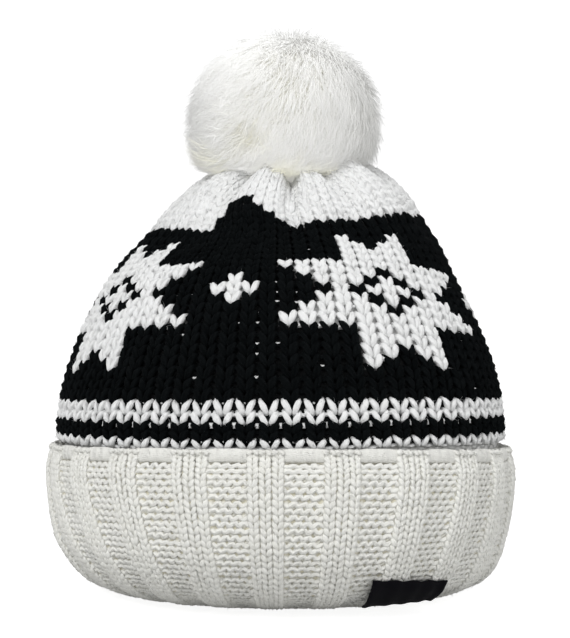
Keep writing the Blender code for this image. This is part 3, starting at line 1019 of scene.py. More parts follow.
# The rows end this far before the profile does, where the rim hides them
HIDDEN_LENGTH = 0.008
FINE_ROWS = int((CUFF_LENGTH - HIDDEN_LENGTH - BAND_ARC) / FINE_ROW)
EDGE_ROWS = 4
ARC_MARGIN = 0.0003
knit_azimuths = np.array([
    FIRST_GROOVE + RIB_PITCH * (rib + 0.5) + FINE_PITCH * column
    for rib in range(RIB_COUNT) for column in (-1, 0, 1)
])


def cuff_width(arc, pitch):
    """The width in metres of so many degrees of the cuff, at a distance down its profile."""
    return np.interp(arc, cuff_arcs, cuff_table[:, 0]) * np.radians(pitch)


def fine_legs(azimuths, arcs, sides):
    azimuths, arcs, sides = upright(azimuths, arcs, sides)
    wander = rng.normal(0.0, 1.0, (len(azimuths), 3))
    across, up, out, thick = FINE_PATH.T
    up = up[None, :] + 0.05 * wander[:, :1]
    azimuth = azimuths + FINE_PITCH * (sides * across[None, :] + 0.02 * wander[:, 1:2])
    arc = np.clip(arcs - up * FINE_ROW, ARC_MARGIN, CUFF_LENGTH - ARC_MARGIN)
    radii = np.minimum(FINE_RADIUS, 0.262 * cuff_width(arc, FINE_PITCH)) * thick[None, :]
    radii = radii * (1.0 + 0.05 * wander[:, 2:])
    in_edge = np.clip(1.0 - arc / BAND_ARC, 0.0, 1.0)
    lift = out[None, :] * radii / thick[None, :] - FINE_SINK - EDGE_SINK * in_edge
    places, outward = cuff_surface(azimuth, arc, lift)
    places, radii = uneven(places, radii)
    return lay_rods(FINE_ROD, places, outward, radii, flatten=0.9)


purl_arcs = BAND_ARC + FINE_ROW * (np.arange(FINE_ROWS) + 0.5)
rib_arcs = BAND_ARC + FINE_ROW * (np.arange(-EDGE_ROWS, FINE_ROWS) + 0.5)
grid_azimuths, grid_arcs = (g.ravel() for g in np.meshgrid(knit_azimuths, rib_arcs))
cuff_pieces = {}
for name, side in (("rib_legs_left", -1), ("rib_legs_right", 1)):
    places = fine_legs(grid_azimuths, grid_arcs, np.full(len(grid_azimuths), side))
    cuff_pieces[name] = add_rods(name, FINE_ROD, places, rng.random(len(grid_azimuths)))

# %% Purl panels
PURL_PITCH = 2.0
PURL_HEIGHT = 0.25
PURL_RADIUS = 0.00104
PURL_REACH = 2.08
# The last part of each row, in columns, over which it thins and dives behind the ribs
PURL_END = 0.36
PURL_ROD = Template(sides=5, cuts=16)
purl_phase = np.linspace(-PURL_REACH, PURL_REACH, PURL_ROD.count)


def purl_rows(azimuths, arcs):
    """A wavy row across each panel, with every second row half a stitch on."""
    azimuths, arcs = upright(azimuths, arcs)
    wander = rng.normal(0.0, 1.0, (len(azimuths), 3))
    half = 0.5 * (np.rint((arcs - BAND_ARC) / FINE_ROW - 0.5) % 2)
    turn = FULL_TURN * (purl_phase[None, :] + half)
    wave = np.cos(turn) + 0.25 * np.sin(2.0 * turn)
    azimuth = azimuths + PURL_PITCH * (purl_phase[None, :] + 0.03 * wander[:, :1])
    height = PURL_HEIGHT * wave * (1.0 + 0.12 * wander[:, 1:2]) + 0.05 * wander[:, 2:]
    arc = np.clip(arcs - height * FINE_ROW, ARC_MARGIN, CUFF_LENGTH - ARC_MARGIN)
    out = 0.50 * np.cos(2.0 * turn)
    ends = (np.abs(purl_phase) - PURL_REACH + PURL_END) / PURL_END
    ends = np.clip(ends, 0.0, 1.0)[None, :]
    radii = np.minimum(PURL_RADIUS, 0.33 * cuff_width(arc, PURL_PITCH))
    radii = radii * (1.0 - 0.3 * ends) * (1.0 + 0.10 * out)
    lift = (0.5 * out - 1.2 * ends) * radii - FINE_SINK
    places, outward = cuff_surface(azimuth, arc, lift)
    places, radii = uneven(places, radii)
    return lay_rods(PURL_ROD, places, outward, radii, flatten=0.85)


panel_azimuths = FIRST_GROOVE + RIB_PITCH * np.arange(RIB_COUNT)
panel_grid, row_grid = (g.ravel() for g in np.meshgrid(panel_azimuths, purl_arcs))
places = purl_rows(panel_grid, row_grid)
cuff_pieces["purl_panels"] = add_rods("purl_panels", PURL_ROD, places, rng.random(len(panel_grid)))

# %% [markdown]
# ### The cuff's fabric
#
# Behind the ribbing one closed skin runs from the folded edge down the outside, round the rim and
# up the inside. At the edge it is the fold itself, a soft roll between the ribs. Just under the
# roll it sinks in the purl panels, which leaves a dark dent at the top of each one.

# %% The cuff's fabric behind the ribbing, round the rim and up the inside
CUFF_SHELL_DEPTH = 0.0013
CUFF_SHELL_COLUMNS = RIB_COUNT * 10
ROLL_ARC = 0.0088
ROLL_DROP = 0.0017
ROLL_DEPTH = 0.0003
ROLL_RIB_DEPTH = 0.0005
ROLL_RINGS = 13
HOLE_ARCS = (0.0092, 0.0100)
HOLE_DEPTH = 0.0014
OUTER_RINGS = 30
OUTER_START = 0.0108
LINING_RINGS = 16
LINING_TOP = 0.020
LINING_RIB = -0.7
END_MARGIN = 0.0004
# The inner ply's face meets the crown's inside at the join
INNER_PLY = 0.0039
# For the UV map: rows of purl bumps from ring to ring, and fine columns round the cuff
CUFF_RING_ROWS = 0.9
CUFF_FINE_COLUMNS = 6 * RIB_COUNT

cuff_azimuths = np.arange(CUFF_SHELL_COLUMNS) * 360.0 / CUFF_SHELL_COLUMNS + 0.4


def cuff_ring(arc, depth, rib_sign=1.0):
    level = np.full(CUFF_SHELL_COLUMNS, arc)
    return cuff_base(cuff_azimuths, level, inset=depth, rib_sign=rib_sign)


def level_ring(radius, height, depth=1.0):
    turn = np.radians(cuff_azimuths)
    level = np.full(CUFF_SHELL_COLUMNS, height)
    radius = radius * rim_tuck(turn, level)
    return np.stack([radius * np.sin(turn), -radius * depth * np.cos(turn), level], axis=1)


rim_radius, rim_depth = cuff_table[-1, 0], cuff_table[-1, 2]
inner_radius = CROWN_ROWS[0][1] * BODY_RADIUS
knit_share = 1.0 - groove_share(cuff_azimuths)
cuff_end = CUFF_LENGTH - END_MARGIN
rings = []
for arc in np.linspace(0.0, ROLL_ARC, ROLL_RINGS):
    roll = 1.0 - np.sqrt(1.0 - 0.97 * (arc / ROLL_ARC) ** 2)
    rings.append(cuff_ring(arc, ROLL_DEPTH + ROLL_RIB_DEPTH * knit_share + ROLL_DROP * roll))
for arc in HOLE_ARCS:
    rings.append(cuff_ring(arc, CUFF_SHELL_DEPTH + HOLE_DEPTH * (1.0 - knit_share)))
for arc in np.linspace(OUTER_START, cuff_end, OUTER_RINGS):
    rings.append(cuff_ring(arc, CUFF_SHELL_DEPTH))
for share in (0.25, 0.5, 0.75):
    bulge = FOLD_EDGE_BULGE * np.sin(np.pi * share)
    rings.append(level_ring(rim_radius - bulge, share * CUFF_THICKNESS, rim_depth))
for arc in np.linspace(cuff_end, LINING_TOP, LINING_RINGS):
    rings.append(cuff_ring(arc, CUFF_THICKNESS, LINING_RIB))
rings.append(level_ring(inner_radius - INNER_PLY, JOIN_HEIGHT - END_MARGIN))
in_roll = np.zeros((len(rings), CUFF_SHELL_COLUMNS))
in_roll[:ROLL_RINGS] = 1.0
cuff_pieces["cuff_fabric"] = ring_skin(
    "cuff_fabric", rings, np.arange(len(rings)) * CUFF_RING_ROWS, CUFF_FINE_COLUMNS, in_roll.ravel(),
)

# %% [markdown]
# ## Loose fibres
#
# Brushed yarn has a haze of single fibres that have worked loose. They soften the hat's outline
# and the border between black and white. A shader can't change an outline, so some thousands of
# them are laid as short pointed rods, each with its root in the yarn and its tip in the air.

# %% Fibres on the yarn
FIBRE_ROD = Template(sides=3, cuts=0, pointed=True)
FIBRE_RADIUS = 0.00008
FIBRE_LENGTH = (0.0010, 0.0027)
FIBRE_ROOT = -0.0005
WHITE_FIBRES = 8200
BLACK_FIBRES = 6500
CUFF_FIBRES = 3000


def fibre_places(surface, azimuth, arc):
    """Short straight fibres that stand off a surface at a slant, in any direction."""
    count = len(azimuth)
    roots, outward = surface(azimuth, arc, np.full(count, FIBRE_ROOT))
    aim = rng.normal(0.0, 1.0, (count, 3))
    aim = unit(aim - outward * np.sum(aim * outward, axis=1)[:, None])
    aim = unit(aim + outward * rng.uniform(0.5, 1.6, (count, 1)))
    paths = np.stack([roots, roots + aim * rng.uniform(*FIBRE_LENGTH, (count, 1))], axis=1)
    radii = FIBRE_RADIUS * np.array([1.0, 0.0])[None, :] * np.ones((count, 1))
    across = np.cross(aim, outward) + 1e-6
    return lay_rods(FIBRE_ROD, paths, np.stack([across, across], axis=1), radii)


def crown_fibres(name, chosen, count):
    columns, rows = np.array(chosen, float)[rng.integers(0, len(chosen), count)].T
    columns = columns + rng.uniform(-0.4, 0.4, count)
    rows = rows + rng.uniform(-0.5, 0.5, count)
    azimuth = column_azimuth(columns, rows)
    places = fibre_places(crown_surface, azimuth, crown_arc(rows, azimuth))
    return add_rods(name, FIBRE_ROD, places, rng.random(count))


crown_pieces["white_fibres"] = crown_fibres("white_fibres", white_body + white_top, WHITE_FIBRES)
crown_pieces["black_fibres"] = crown_fibres("black_fibres", black_body, BLACK_FIBRES)
azimuth = rng.uniform(-180.0, 180.0, CUFF_FIBRES)
arc = rng.uniform(0.001, 0.8 * CUFF_LENGTH, CUFF_FIBRES)
places = fibre_places(cuff_surface, azimuth, arc)
cuff_pieces["cuff_fibres"] = add_rods("cuff_fibres", FIBRE_ROD, places, rng.random(CUFF_FIBRES))

# %% [markdown]
# ## The pompom
#
# The pompom is a ball of long soft fur. Its hairs grow outwards, then lie over in the direction in
# which they were combed: to the left and down, but on the lower right to the right, and away from
# one small parting on the left of the front. They hold together in locks whose tips meet. A
# particle system could grow them, but its hairs aren't meshes, so each hair is laid here as a thin
# three-sided rod with one bend and a pointed tip. The lowest hairs come to lie on the knitting,
# which pushes them outwards.

# %% The ball under the fur
POMPOM_CENTRE = np.array([0.0016, -0.012, 0.205])
POMPOM_RADIUS = 0.0440
CORE_RADIUS = 0.0335
SEAT_HEIGHT = 0.1839
RIPPLE = 0.0016
RIPPLE_WAYS = np.array([[310.0, 170.0, -240.0], [-190.0, 280.0, 260.0]])

bpy.ops.mesh.primitive_ico_sphere_add(subdivisions=5, radius=CORE_RADIUS)
core = bpy.context.object
core.name = "pompom_core"
core_places = np.array([v.co for v in core.data.vertices])
ripple = np.sin(core_places @ RIPPLE_WAYS[0]) * np.sin(core_places @ RIPPLE_WAYS[1])
core_places = unit(core_places) * (CORE_RADIUS + RIPPLE * ripple)[:, None] + POMPOM_CENTRE
core_places[:, 2] = np.maximum(core_places[:, 2], SEAT_HEIGHT)
core.data.vertices.foreach_set("co", core_places.astype(np.float32).ravel())
core.data.update()
bpy.ops.object.shade_smooth()
core.select_set(False)

# %% The comb's direction
PARTING = (-22.0, -11.0)
PARTING_WIDTH = 0.15
# Left of this line across the ball, as a share of its radius, the fur is combed leftwards
PART_LINE = 0.35
COMBED_DOWN = np.array([0.0, -0.5, -0.87])


def direction(azimuth, elevation):
    turn, tip = np.radians(azimuth), np.radians(elevation)
    return np.array([np.sin(turn) * np.cos(tip), -np.cos(turn) * np.cos(tip), np.sin(tip)])


def along_ball(roots, heading):
    """The part of a heading that runs along the ball's surface at each root."""
    heading = np.broadcast_to(heading, roots.shape)
    return heading - roots * np.sum(heading * roots, axis=1)[:, None]


def comb(roots):
    """The direction in which fur growing at a root lies over, and how far it lies over there."""
    parting = direction(*PARTING)
    apart = np.linalg.norm(roots - parting, axis=1)[:, None]
    near = np.exp(-(apart / PARTING_WIDTH) ** 2)
    away = unit(along_ball(roots, roots - parting)) * np.clip(apart / 0.12, 0.0, 1.0)
    leftward = np.clip((PART_LINE - roots[:, :1]) / 1.1, 0.0, 1.0)
    rightward = np.clip((roots[:, :1] - PART_LINE) / 0.5, 0.0, 1.0)
    rightward = rightward * np.clip(0.3 - roots[:, 2:3], 0.0, 1.0)
    flow = 0.85 * leftward * along_ball(roots, np.array([-1.0, 0.0, 0.0]))
    flow = flow + 0.45 * rightward * along_ball(roots, np.array([1.0, 0.0, 0.0]))
    down = along_ball(roots, COMBED_DOWN)
    down = down / np.maximum(np.linalg.norm(down, axis=1)[:, None], 0.25)
    flow = flow + (0.95 - 0.70 * leftward) * down
    flow = near * away + (1.0 - near) * flow
    return unit(flow), np.clip(np.linalg.norm(flow, axis=1), 0.6, 1.0)


# %% Hairs
HAIR_ROD = Template(sides=3, cuts=1, pointed=True)
# (name, number of hairs, length, share that strays, thickness) of each coat of the fur
COATS = [
    ("pompom_fur", 10100, 1.0, 0.0, 1.0),
    ("pompom_overfur", 10100, 1.01, 0.4, 0.9),
    ("pompom_guard_hairs", 2600, 1.07, 0.9, 0.45),
]
TUFT_LENGTH = 0.13
LOCKS = 1100
ROOT_RADIUS = 0.0290
HAIR_RADIUS = 0.00015
HAIR_TAPER = np.array([1.0, 0.9, 0.0])
# (azimuth, elevation, width) of the tufts whose straw-coloured roots show
WARM_TUFTS = [
    (-22, -11, 0.09), (-15, -3, 0.05), (-60, -29, 0.13), (-47, -35, 0.14),
    (3, -31, 0.15), (18, -38, 0.11), (30, -33, 0.14), (42, -28, 0.11),
]
ALONG_HAIR = np.linspace(0.0, 1.0, HAIR_ROD.count)[None, :, None]


def even_directions(count):
    """Directions spread evenly over a ball, along a spiral from pole to pole."""
    k = np.arange(count) + 0.5
    z = 1.0 - 2.0 * k / count
    turn = np.pi * (1.0 + 5.0 ** 0.5) * k
    across = np.sqrt(1.0 - z * z)
    return np.stack([across * np.cos(turn), across * np.sin(turn), z], axis=1)


def grow(roots, reach, lie, sway):
    """Hair paths: reach is the tips' distance out, lie and sway how far and which way they lean."""
    t = ALONG_HAIR
    lean, spread = comb(roots)
    lean = np.cos(sway)[:, None] * lean + np.sin(sway)[:, None] * np.cross(roots, lean)
    angle = lie[:, None, None] * spread[:, None, None] * t ** 1.2
    heading = np.cos(angle) * roots[:, None] + np.sin(angle) * lean[:, None]
    distance = ROOT_RADIUS + (reach[:, None, None] - ROOT_RADIUS) * (1.0 - (1.0 - t) ** 1.6)
    return heading * distance


lock_roots = even_directions(LOCKS)
lock_roots = unit(lock_roots + rng.normal(0.0, 0.05, lock_roots.shape))
lock_reach = POMPOM_RADIUS * rng.uniform(0.97, 1.03, LOCKS)
lock_lie = np.radians(rng.uniform(30.0, 46.0, LOCKS))
lock_sway = rng.normal(0.0, 0.22, LOCKS)
lock_paths = grow(lock_roots, lock_reach, lock_lie, lock_sway)


def hair_paths(count, longer, stray):
    """Hairs gathered into the nearest lock, but for a share that stray from it."""
    roots = even_directions(count)
    roots = unit(roots + rng.normal(0.0, 0.03, roots.shape))
    nearest = np.argmax(roots @ lock_roots.T, axis=1)
    reach = lock_reach[nearest] * rng.uniform(0.92, 1.03, count) * longer
    lie = lock_lie[nearest] * rng.uniform(0.8, 1.2, count)
    sway = lock_sway[nearest] + rng.normal(0.0, 0.22 + 0.3 * stray, count)
    own = grow(roots, reach, lie, sway)
    hold = np.clip(rng.normal(0.22, 0.12, count), 0.0, 0.6) * (1.0 - stray)
    hold = hold[:, None, None] * ALONG_HAIR
    scatter = rng.normal(0.0, 0.0011, (count, 1, 3)) * ALONG_HAIR
    paths = own * (1.0 - hold) + lock_paths[nearest] * hold
    bend = rng.normal(0.0, 0.0008, (count, 1, 3)) * np.sin(np.pi * ALONG_HAIR)
    return paths + scatter + bend + POMPOM_CENTRE, roots, nearest


# %% Where the lowest hairs come to lie
REST_HEIGHT = 0.1858
REST_SLOPE = 0.20
REST_GIVE = (0.02, 0.34)
HAIR_CLEARANCE = PLAIN_DEPTH + 0.0005
# Only points of a hair under the first height are tested, against knitting over the second
TEST_BELOW = 0.195
TEST_ABOVE = 0.10


def laid_on_crown(paths):
    """Low hairs are turned out where the gathers hold them up, and none is inside the knitting."""
    rest = REST_HEIGHT + REST_SLOPE * (paths[..., 1] - POMPOM_CENTRE[1])
    below = np.maximum(rest - paths[..., 2], 0.0)
    paths[..., 2] += (1.0 - rng.uniform(*REST_GIVE, (len(paths), 1))) * below
    shell = crown_shell.data
    places = [v.co.copy() for v in shell.vertices]
    faces = [tuple(p.vertices) for p in shell.polygons if p.index < len(levels) * SHELL_COLUMNS]
    tree = BVHTree.FromPolygons(places, faces)
    flat = paths.reshape(-1, 3)
    for k in np.nonzero(flat[:, 2] < TEST_BELOW)[0]:
        near, normal, _, _ = tree.find_nearest(Vector(flat[k]))
        if near.z < TEST_ABOVE:
            continue
        gap = (Vector(flat[k]) - near).dot(normal)
        if gap < HAIR_CLEARANCE:
            flat[k] = np.array(near + normal * HAIR_CLEARANCE)
    return flat.reshape(paths.shape)


# %% Adding the fur
LOW_ROOTS = -0.35
WARM_START = 0.12


def warmth(roots):
    """How much each root belongs to one of the straw-coloured tufts, from 0 to 1."""
    total = np.zeros(len(roots))
    for azimuth, elevation, width in WARM_TUFTS:
        apart = np.linalg.norm(roots - direction(azimuth, elevation), axis=1)
        total = np.maximum(total, np.exp(-(apart / width) ** 2))
    return total * rng.uniform(0.3, 1.0, len(roots))


def add_hairs(name, count, longer, stray, thickness):
    """One coat of the fur; a shade over 1 marks the hairs of the straw-coloured tufts."""
    paths, roots, nearest = hair_paths(count, longer, stray)
    warm = warmth(roots)
    low = warm * (roots[:, 2] < LOW_ROOTS)
    paths = laid_on_crown(paths) + (paths - POMPOM_CENTRE) * (TUFT_LENGTH * low)[:, None, None]
    outward = unit(paths - POMPOM_CENTRE)
    radii = thickness * HAIR_TAPER[None, :] * rng.uniform(0.75, 1.2, (count, 1))
    places = lay_rods(HAIR_ROD, paths, outward, radii)
    shade = 0.55 * rng.random(LOCKS)[nearest] + 0.44 * rng.random(count)
    shade = np.where(warm > WARM_START, 1.0 + warm, shade)
    return add_rods(name, HAIR_ROD, places, shade)


fur_pieces = [
    add_hairs(name, count, longer, stray, thickness * HAIR_RADIUS)
    for name, count, longer, stray, thickness in COATS
]

# %% [markdown]
# ## The tie
#
# Under the gather the yarn that pulls the crown together is wound and knotted, and it holds the
# pompom. From outside it is hidden, but it shows from inside the hat: three strands that go up
# through the hole, with a few turns of a coil round them. Strands and coil are both windings round
# the pompom's axis, so one function lays them.

# %% The wound tie
TIE_TURNS = 4
TIE_COIL = 0.0058
TIE_YARN = 0.00145
TIE_TOP = 0.1832
TIE_BELOW = 0.1660
TIE_STEM = 0.0021
TIE_STRANDS = 3
STRAND_TWIST = 0.6
COIL_HEIGHT = 0.0042


def add_winding(name, steps, radius, first_turns, turns, height, outward):
    """Lengths of yarn that wind upwards round the pompom's axis, one for each first turn."""
    rod = Template(sides=8, cuts=steps - 1)
    t = np.linspace(0.0, 1.0, steps + 1)
    turn = FULL_TURN * (np.array(first_turns)[:, None] + turns * t)
    x = POMPOM_CENTRE[0] + radius * np.cos(turn)
    y = POMPOM_CENTRE[1] + radius * np.sin(turn)
    paths = np.stack([x, y, np.broadcast_to(TIE_BELOW + height * t, x.shape)], axis=2)
    radii = np.full(x.shape, TIE_YARN)
    places = lay_rods(rod, paths, np.broadcast_to(np.array(outward), paths.shape), radii)
    return add_rods(name, rod, places, rng.random(len(x)))


tie_pieces = [
    add_winding("tie_strands", 24, TIE_STEM, [k / TIE_STRANDS for k in range(TIE_STRANDS)],
                STRAND_TWIST, TIE_TOP - TIE_BELOW, (1.0, 0.0, 0.0)),
    add_winding("tie_coil", 24 * TIE_TURNS, TIE_COIL, [0.0], TIE_TURNS, COIL_HEIGHT,
                (0.0, 0.0, 1.0)),
]

# %% [markdown]
# ## The label
#
# A small woven label is sewn to the rim, right of the front. It is a strip of black ribbon with
# both ends folded under, so it has thicker ends, and it follows the ribs a little. A plane bent
# in edit mode would do, but laying a grid on the cuff's surface keeps it exactly on the knitting.
# It carries no words here.

# %% The label's grid
LABEL_START = 20.0
LABEL_END = 41.0
LABEL_TOP = 0.0172
LABEL_BOTTOM = 0.0053
LABEL_SKEW = 0.0032
LABEL_LIFT = 0.0009
LABEL_FOLD = 0.0004
LABEL_FOLD_PLACES = (0.03, 0.97)
LABEL_FOLD_WIDTH = 0.035
LABEL_WAVES = 4.2
LABEL_CLOTH = 0.0007
LABEL_ACROSS = 48
LABEL_DOWN = 18

bpy.ops.mesh.primitive_grid_add(x_subdivisions=LABEL_ACROSS, y_subdivisions=LABEL_DOWN, size=1.0)
label = bpy.context.object
label.name = "label_ribbon"
grid = np.array([v.co for v in label.data.vertices])
share, level = grid[:, 0] + 0.5, grid[:, 1] + 0.5
heights = cuff_table[:, 1]
top_at = LABEL_TOP - share * LABEL_SKEW
ribs = FULL_TURN * LABEL_WAVES * share
wave = 0.00035 * np.sin(ribs + 0.6) * level
target = LABEL_BOTTOM + (top_at - LABEL_BOTTOM + wave) * level
upper = np.argmax(heights <= 1e-6)
arc = np.interp(-target, -heights[:upper], cuff_arcs[:upper])
azimuth = LABEL_START + (LABEL_END - LABEL_START) * share
fold = sum(np.exp(-((share - place) / LABEL_FOLD_WIDTH) ** 2) for place in LABEL_FOLD_PLACES)
pucker = 0.00018 * np.sin(ribs) + 0.00012 * np.sin(9.0 * level + 3.0 * share)
radius, height, depth, rise, rib, across, up = read_rows(arc, cuff_arcs, cuff_table)
turn = np.radians(azimuth)
radius = radius * rim_tuck(turn, height)
lift = LABEL_LIFT + LABEL_FOLD * fold + pucker
radius = radius + lift * across
height = height + lift * up + CUFF_FRONT_RISE * rise * np.cos(turn) ** 2
places = np.stack([radius * np.sin(turn), -radius * depth * np.cos(turn), height], axis=1)
label.data.vertices.foreach_set("co", places.astype(np.float32).ravel())
label.data.update()
thickness = label.modifiers.new("cloth", "SOLIDIFY")
thickness.thickness = LABEL_CLOTH
thickness.offset = 0.0
rounding = label.modifiers.new("soft edge", "BEVEL")
rounding.width = 0.0002
rounding.segments = 2
rounding.limit_method = "ANGLE"
for modifier in ("cloth", "soft edge"):
    bpy.ops.object.modifier_apply(modifier=modifier)
bpy.ops.object.shade_smooth_by_angle(angle=np.radians(50.0))
label.select_set(False)
print("label:", len(label.data.polygons), "faces")

# %% [markdown]
# ## The yarns' finish
#
# Soft acrylic yarn is plied: its strands wind round one another, which shows as slanting ridges
# along each leg. The yarn's own UV map runs round and along each rod, so one wave on it gives the
# plies, and fine noise in the hat's own space gives the fibres. The colour changes a little from
# stitch to stitch, and deep between the plies it is painted darker and warmer, as painted shade in
# the grooves. A sheen on the shader stands for the haze of loose fibre.

# %% Yarn finishes
PLIES = 4.0


def yarn_finish(name, light, dark, sheen, sheen_tint, wind=1.3, depth=0.00040, specular=0.06):
    """Plied yarn: dark is painted shade between the plies; wind is how far they turn along one leg.
    """
    material, shader, wire = start_finish(name, 0.95, sheen, sheen_tint, specular=specular)
    u, v, _ = wire.uv().parts()
    place = wire.place()
    fibre = wire.noise(place, 1500.0, 4.0, 0.7)
    clumps = wire.noise(place, 420.0, 2.0)
    ply = (PLIES * u + wind * v + 0.35 * clumps).wave()
    # The ply wave darkens the grooves between the plies as painted shade; the stitch's shade
    # attribute, clumps and fibres vary the tone at random.
    tone = (0.36 * wire.shade() + 0.35 * clumps + 0.30 * ply + 0.45 * fibre - 0.23).clamped()
    height = ply * 0.55 + fibre * 1.1 + clumps * 0.35
    paint(wire, shader, "Base Color", mix_colors(wire, tone, dark, light))
    paint(wire, shader, "Normal", wire.relief(height, depth, 0.9))
    return material


# (name, lit colour, painted shade between the plies, sheen, sheen's tint)
WHITE_YARN = yarn_finish(
    "white_yarn", (0.93, 0.935, 0.935), (0.84, 0.845, 0.84), 0.2, (1.0, 1.0, 1.0),
)
IVORY_YARN = yarn_finish(
    "ivory_rib_yarn", (0.91, 0.91, 0.88), (0.83, 0.825, 0.77), 0.2, (1.0, 1.0, 0.97),
    wind=1.0, depth=0.00026,
)
BLACK_YARN = yarn_finish(
    "black_yarn", (0.0052, 0.0064, 0.0070), (0.0008, 0.0011, 0.0013), 0.006, (0.8, 0.95, 1.0),
    specular=0.03,
)


# %% [markdown]
# The fabric behind needs a finish of its own. Under the pattern it is the dark of the black
# floats, above it the white of the crown, and inside the hat the rows of purl bumps run round.
# The skin's UV map counts columns and rows, so two waves on it draw the bumps, and the colour is
# painted darker between them as painted shade; on the cuff that dark is a warm tan, painted shade
# for its deep hollows. The skin's shade says where the crown's fabric is white, and where the cuff's
# is the smooth fold at its edge.

# %% Fabric finishes
FLOATS_DARK = (0.003, 0.004, 0.004)
FLOATS_LIGHT = (0.008, 0.009, 0.010)
FOLD_DARK = (0.76, 0.755, 0.705)
FOLD_LIGHT = (0.89, 0.89, 0.86)
FABRIC_RELIEF = 0.0009


def fabric_finish(name, light, dark, patterned):
    """Purl bumps from a UV map that counts stitches, with painted shade between them, on the crown's
    skin or the cuff's.
    """
    material, shader, wire = start_finish(name, 0.95, 0.15, specular=0.1)
    u, v, _ = wire.uv().parts()
    place = wire.place()
    shade = wire.shade()
    row = (v + wire.math("SINE", FULL_TURN * u) * 0.25).wave()
    fibre = wire.noise(place, 1800.0, 3.0)
    # The colour is painted dark between the rows of bumps as painted shade; the fibre noise varies
    # it at random.
    color = mix_colors(wire, (row * 0.8 + fibre * 0.3).clamped(), dark, light)
    if patterned:
        color = mix_colors(wire, shade, mix_colors(wire, row, FLOATS_DARK, FLOATS_LIGHT), color)
        height = row + 0.25 * fibre
    else:
        color = mix_colors(wire, shade, color, mix_colors(wire, fibre, FOLD_DARK, FOLD_LIGHT))
        tufts = wire.noise(place, 520.0, 4.0, 0.7)
        ribs = (u + 0.25 * tufts).wave()
        height = row * (1.0 - 0.9 * shade) + 0.3 * fibre + shade * (0.6 * tufts + 0.6 * ribs)
    paint(wire, shader, "Base Color", color)
    paint(wire, shader, "Normal", wire.relief(height, FABRIC_RELIEF, 0.8))
    return material


# (name, light, painted shade between the bumps, patterned): the cuff's dark is a warm tan, painted
# shade for its deep hollows
CROWN_FABRIC = fabric_finish("crown_reverse", (0.90, 0.905, 0.90), (0.80, 0.80, 0.79), True)
CUFF_FABRIC = fabric_finish("cuff_reverse", (0.88, 0.87, 0.81), (0.64, 0.60, 0.45), False)

# %% [markdown]
# Fur is palest at its tips, and down at its roots it turns to a warm straw colour, which shows
# where the hairs part. Each hair's UV map runs from root to tip, and each has its own shade, so
# that the locks stand apart. Thin pale hairs pass light on to one another, which a solid rod does
# not. A little glow of the fur's own colour stands for that light, and it fades on the ball's right
# side and behind, away from the main lamp.

# %% The fur's finish
FUR_GLOW = 0.36
# How much the hairs' own facets are turned to the ball's roundness
FUR_ROUNDING = 0.6
FUR_GROWN = [
    (0.0, (0.86, 0.82, 0.66)), (0.3, (0.94, 0.93, 0.87)),
    (0.6, (0.965, 0.965, 0.95)), (1.0, (0.975, 0.975, 0.97)),
]
FUR_GREY = (0.84, 0.84, 0.82)
FUR_STRAW = (0.95, 0.92, 0.67)
FUR_SHADED = (0.34, 0.34, 0.32)

FUR, shader, wire = start_finish("fur_hair", 0.85, 0.1, (1.0, 1.0, 0.98), specular=0.08)
own = wire.shade()
grown = wire.node("ShaderNodeValToRGB", {"Fac": wire.uv().parts()[1]}, stops=FUR_GROWN)
warm = (own - 1.0).clamped()
grey = mix_colors(wire, (own * 0.22).clamped() * (1.0 - warm), grown, FUR_GREY)
tinted = mix_colors(wire, warm * 0.85, grey, FUR_STRAW)
paint(wire, shader, "Base Color", tinted)

centre = tuple(POMPOM_CENTRE)
ball = wire.node("ShaderNodeVectorMath", {0: wire.place(), 1: centre}, {"operation": "SUBTRACT"})
ball = wire.node("ShaderNodeVectorMath", {0: ball}, {"operation": "NORMALIZE"})
facet = wire.node("ShaderNodeNewGeometry", output=1)
turned = {0: FUR_ROUNDING, 4: facet, 5: ball}
turned = wire.node("ShaderNodeMix", turned, {"data_type": "VECTOR"}, output=1)
turned = wire.node("ShaderNodeVectorMath", {0: turned}, {"operation": "NORMALIZE"})
paint(wire, shader, "Normal", turned)

rightward, rearward, upward = ball.parts()
in_shade = (rightward * 1.3 - 0.25).clamped() * 0.5 + (rearward * 1.5 + 1.15).clamped() * 0.8
in_shade = (in_shade - (upward * 1.4 - 0.5).clamped() * 0.55).clamped()
paint(wire, shader, "Emission Color", mix_colors(wire, in_shade, tinted, FUR_SHADED))
shader.inputs["Emission Strength"].default_value = FUR_GLOW

# %% The finish of the fur's roots
# The core glows a little in its own colour: painted light, so that the partings between the hairs
# don't fall dark.
ROOTS_GLOW = 0.3 * FUR_GLOW
ROOTS_DARK = (0.92, 0.90, 0.77)
ROOTS_LIGHT = (0.955, 0.95, 0.90)

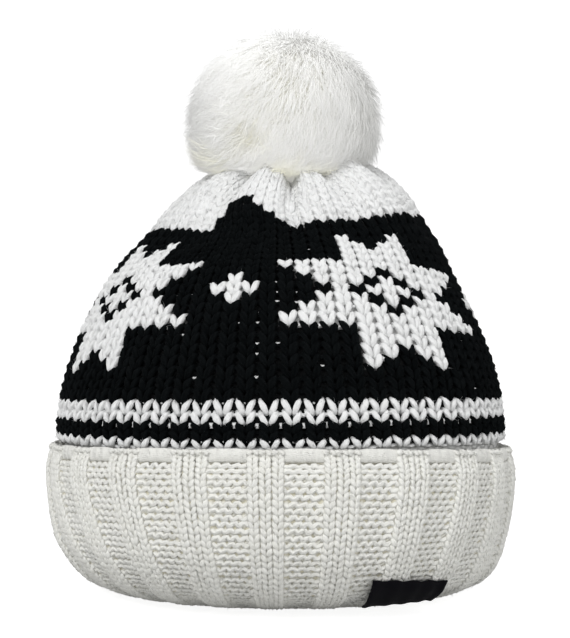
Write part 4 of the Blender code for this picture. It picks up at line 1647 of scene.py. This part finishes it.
FUR_ROOTS, shader, wire = start_finish("fur_roots", 0.9, 0.1, specular=0.1)
tufts = wire.noise(wire.place(), 380.0, 4.0)
root_color = mix_colors(wire, tufts, ROOTS_DARK, ROOTS_LIGHT)
paint(wire, shader, "Base Color", root_color)
paint(wire, shader, "Emission Color", root_color)
paint(wire, shader, "Normal", wire.relief(tufts, 0.002, 1.0))
shader.inputs["Emission Strength"].default_value = ROOTS_GLOW

# %% [markdown]
# The label is woven of fine black threads, a warp along it and a weft across it. Two waves on its
# UV map draw the threads, and specks of noise make some of them a little paler. The paler threads
# are tinted purple: painted sheen of the satin.

# %% The label's finish
WARP_THREADS = 92.0
WEFT_THREADS = 46.0
SATIN_DARK = (0.0010, 0.0010, 0.0018)
# SATIN_LIGHT is the paler threads' colour, and its purple tint is painted sheen
SATIN_LIGHT = (0.0040, 0.0036, 0.0064)

LABEL_SATIN, shader, wire = start_finish("label_satin", 0.70, 0.0, specular=0.06)
uv = wire.uv("UVMap")
u, v, _ = uv.parts()
weave = (WARP_THREADS * u).wave() * 0.6 + (WEFT_THREADS * v).wave() * 0.8
tone = (weave * 0.5 + wire.noise(uv, 60.0, 3.0) * 0.5).clamped()
paint(wire, shader, "Base Color", mix_colors(wire, tone, SATIN_DARK, SATIN_LIGHT))
paint(wire, shader, "Normal", wire.relief(weave, 0.00012, 0.6))

# %% [markdown]
# ## Putting it together
#
# Each piece gets its finish and rides on the hat's one body, and the CAD node that it stands for
# is hidden, so that the plain solids don't show and the moving model still knows where the yarn
# belongs.

# %% Finishes, bodies and nodes
def dress(piece, finish, node):
    piece.data.materials.clear()
    piece.data.materials.append(finish)
    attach(piece, "root")
    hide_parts(node)


for name, piece in crown_pieces.items():
    if name.startswith("black"):
        dress(piece, BLACK_YARN, "crown")
    elif name == "crown_fabric":
        dress(piece, CROWN_FABRIC, "crown")
    else:
        dress(piece, WHITE_YARN, "crown")
for name, piece in cuff_pieces.items():
    dress(piece, CUFF_FABRIC if name == "cuff_fabric" else IVORY_YARN, "cuff")
dress(core, FUR_ROOTS, "pompom")
for piece in fur_pieces:
    dress(piece, FUR, "pompom")
dress(label, LABEL_SATIN, "label")
for piece in tie_pieces:
    dress(piece, IVORY_YARN, "pompom_tie")

total = sum(len(p.vertices) - 2 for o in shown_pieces() if o.type == "MESH" for p in o.data.polygons)
print("triangles in all:", total)
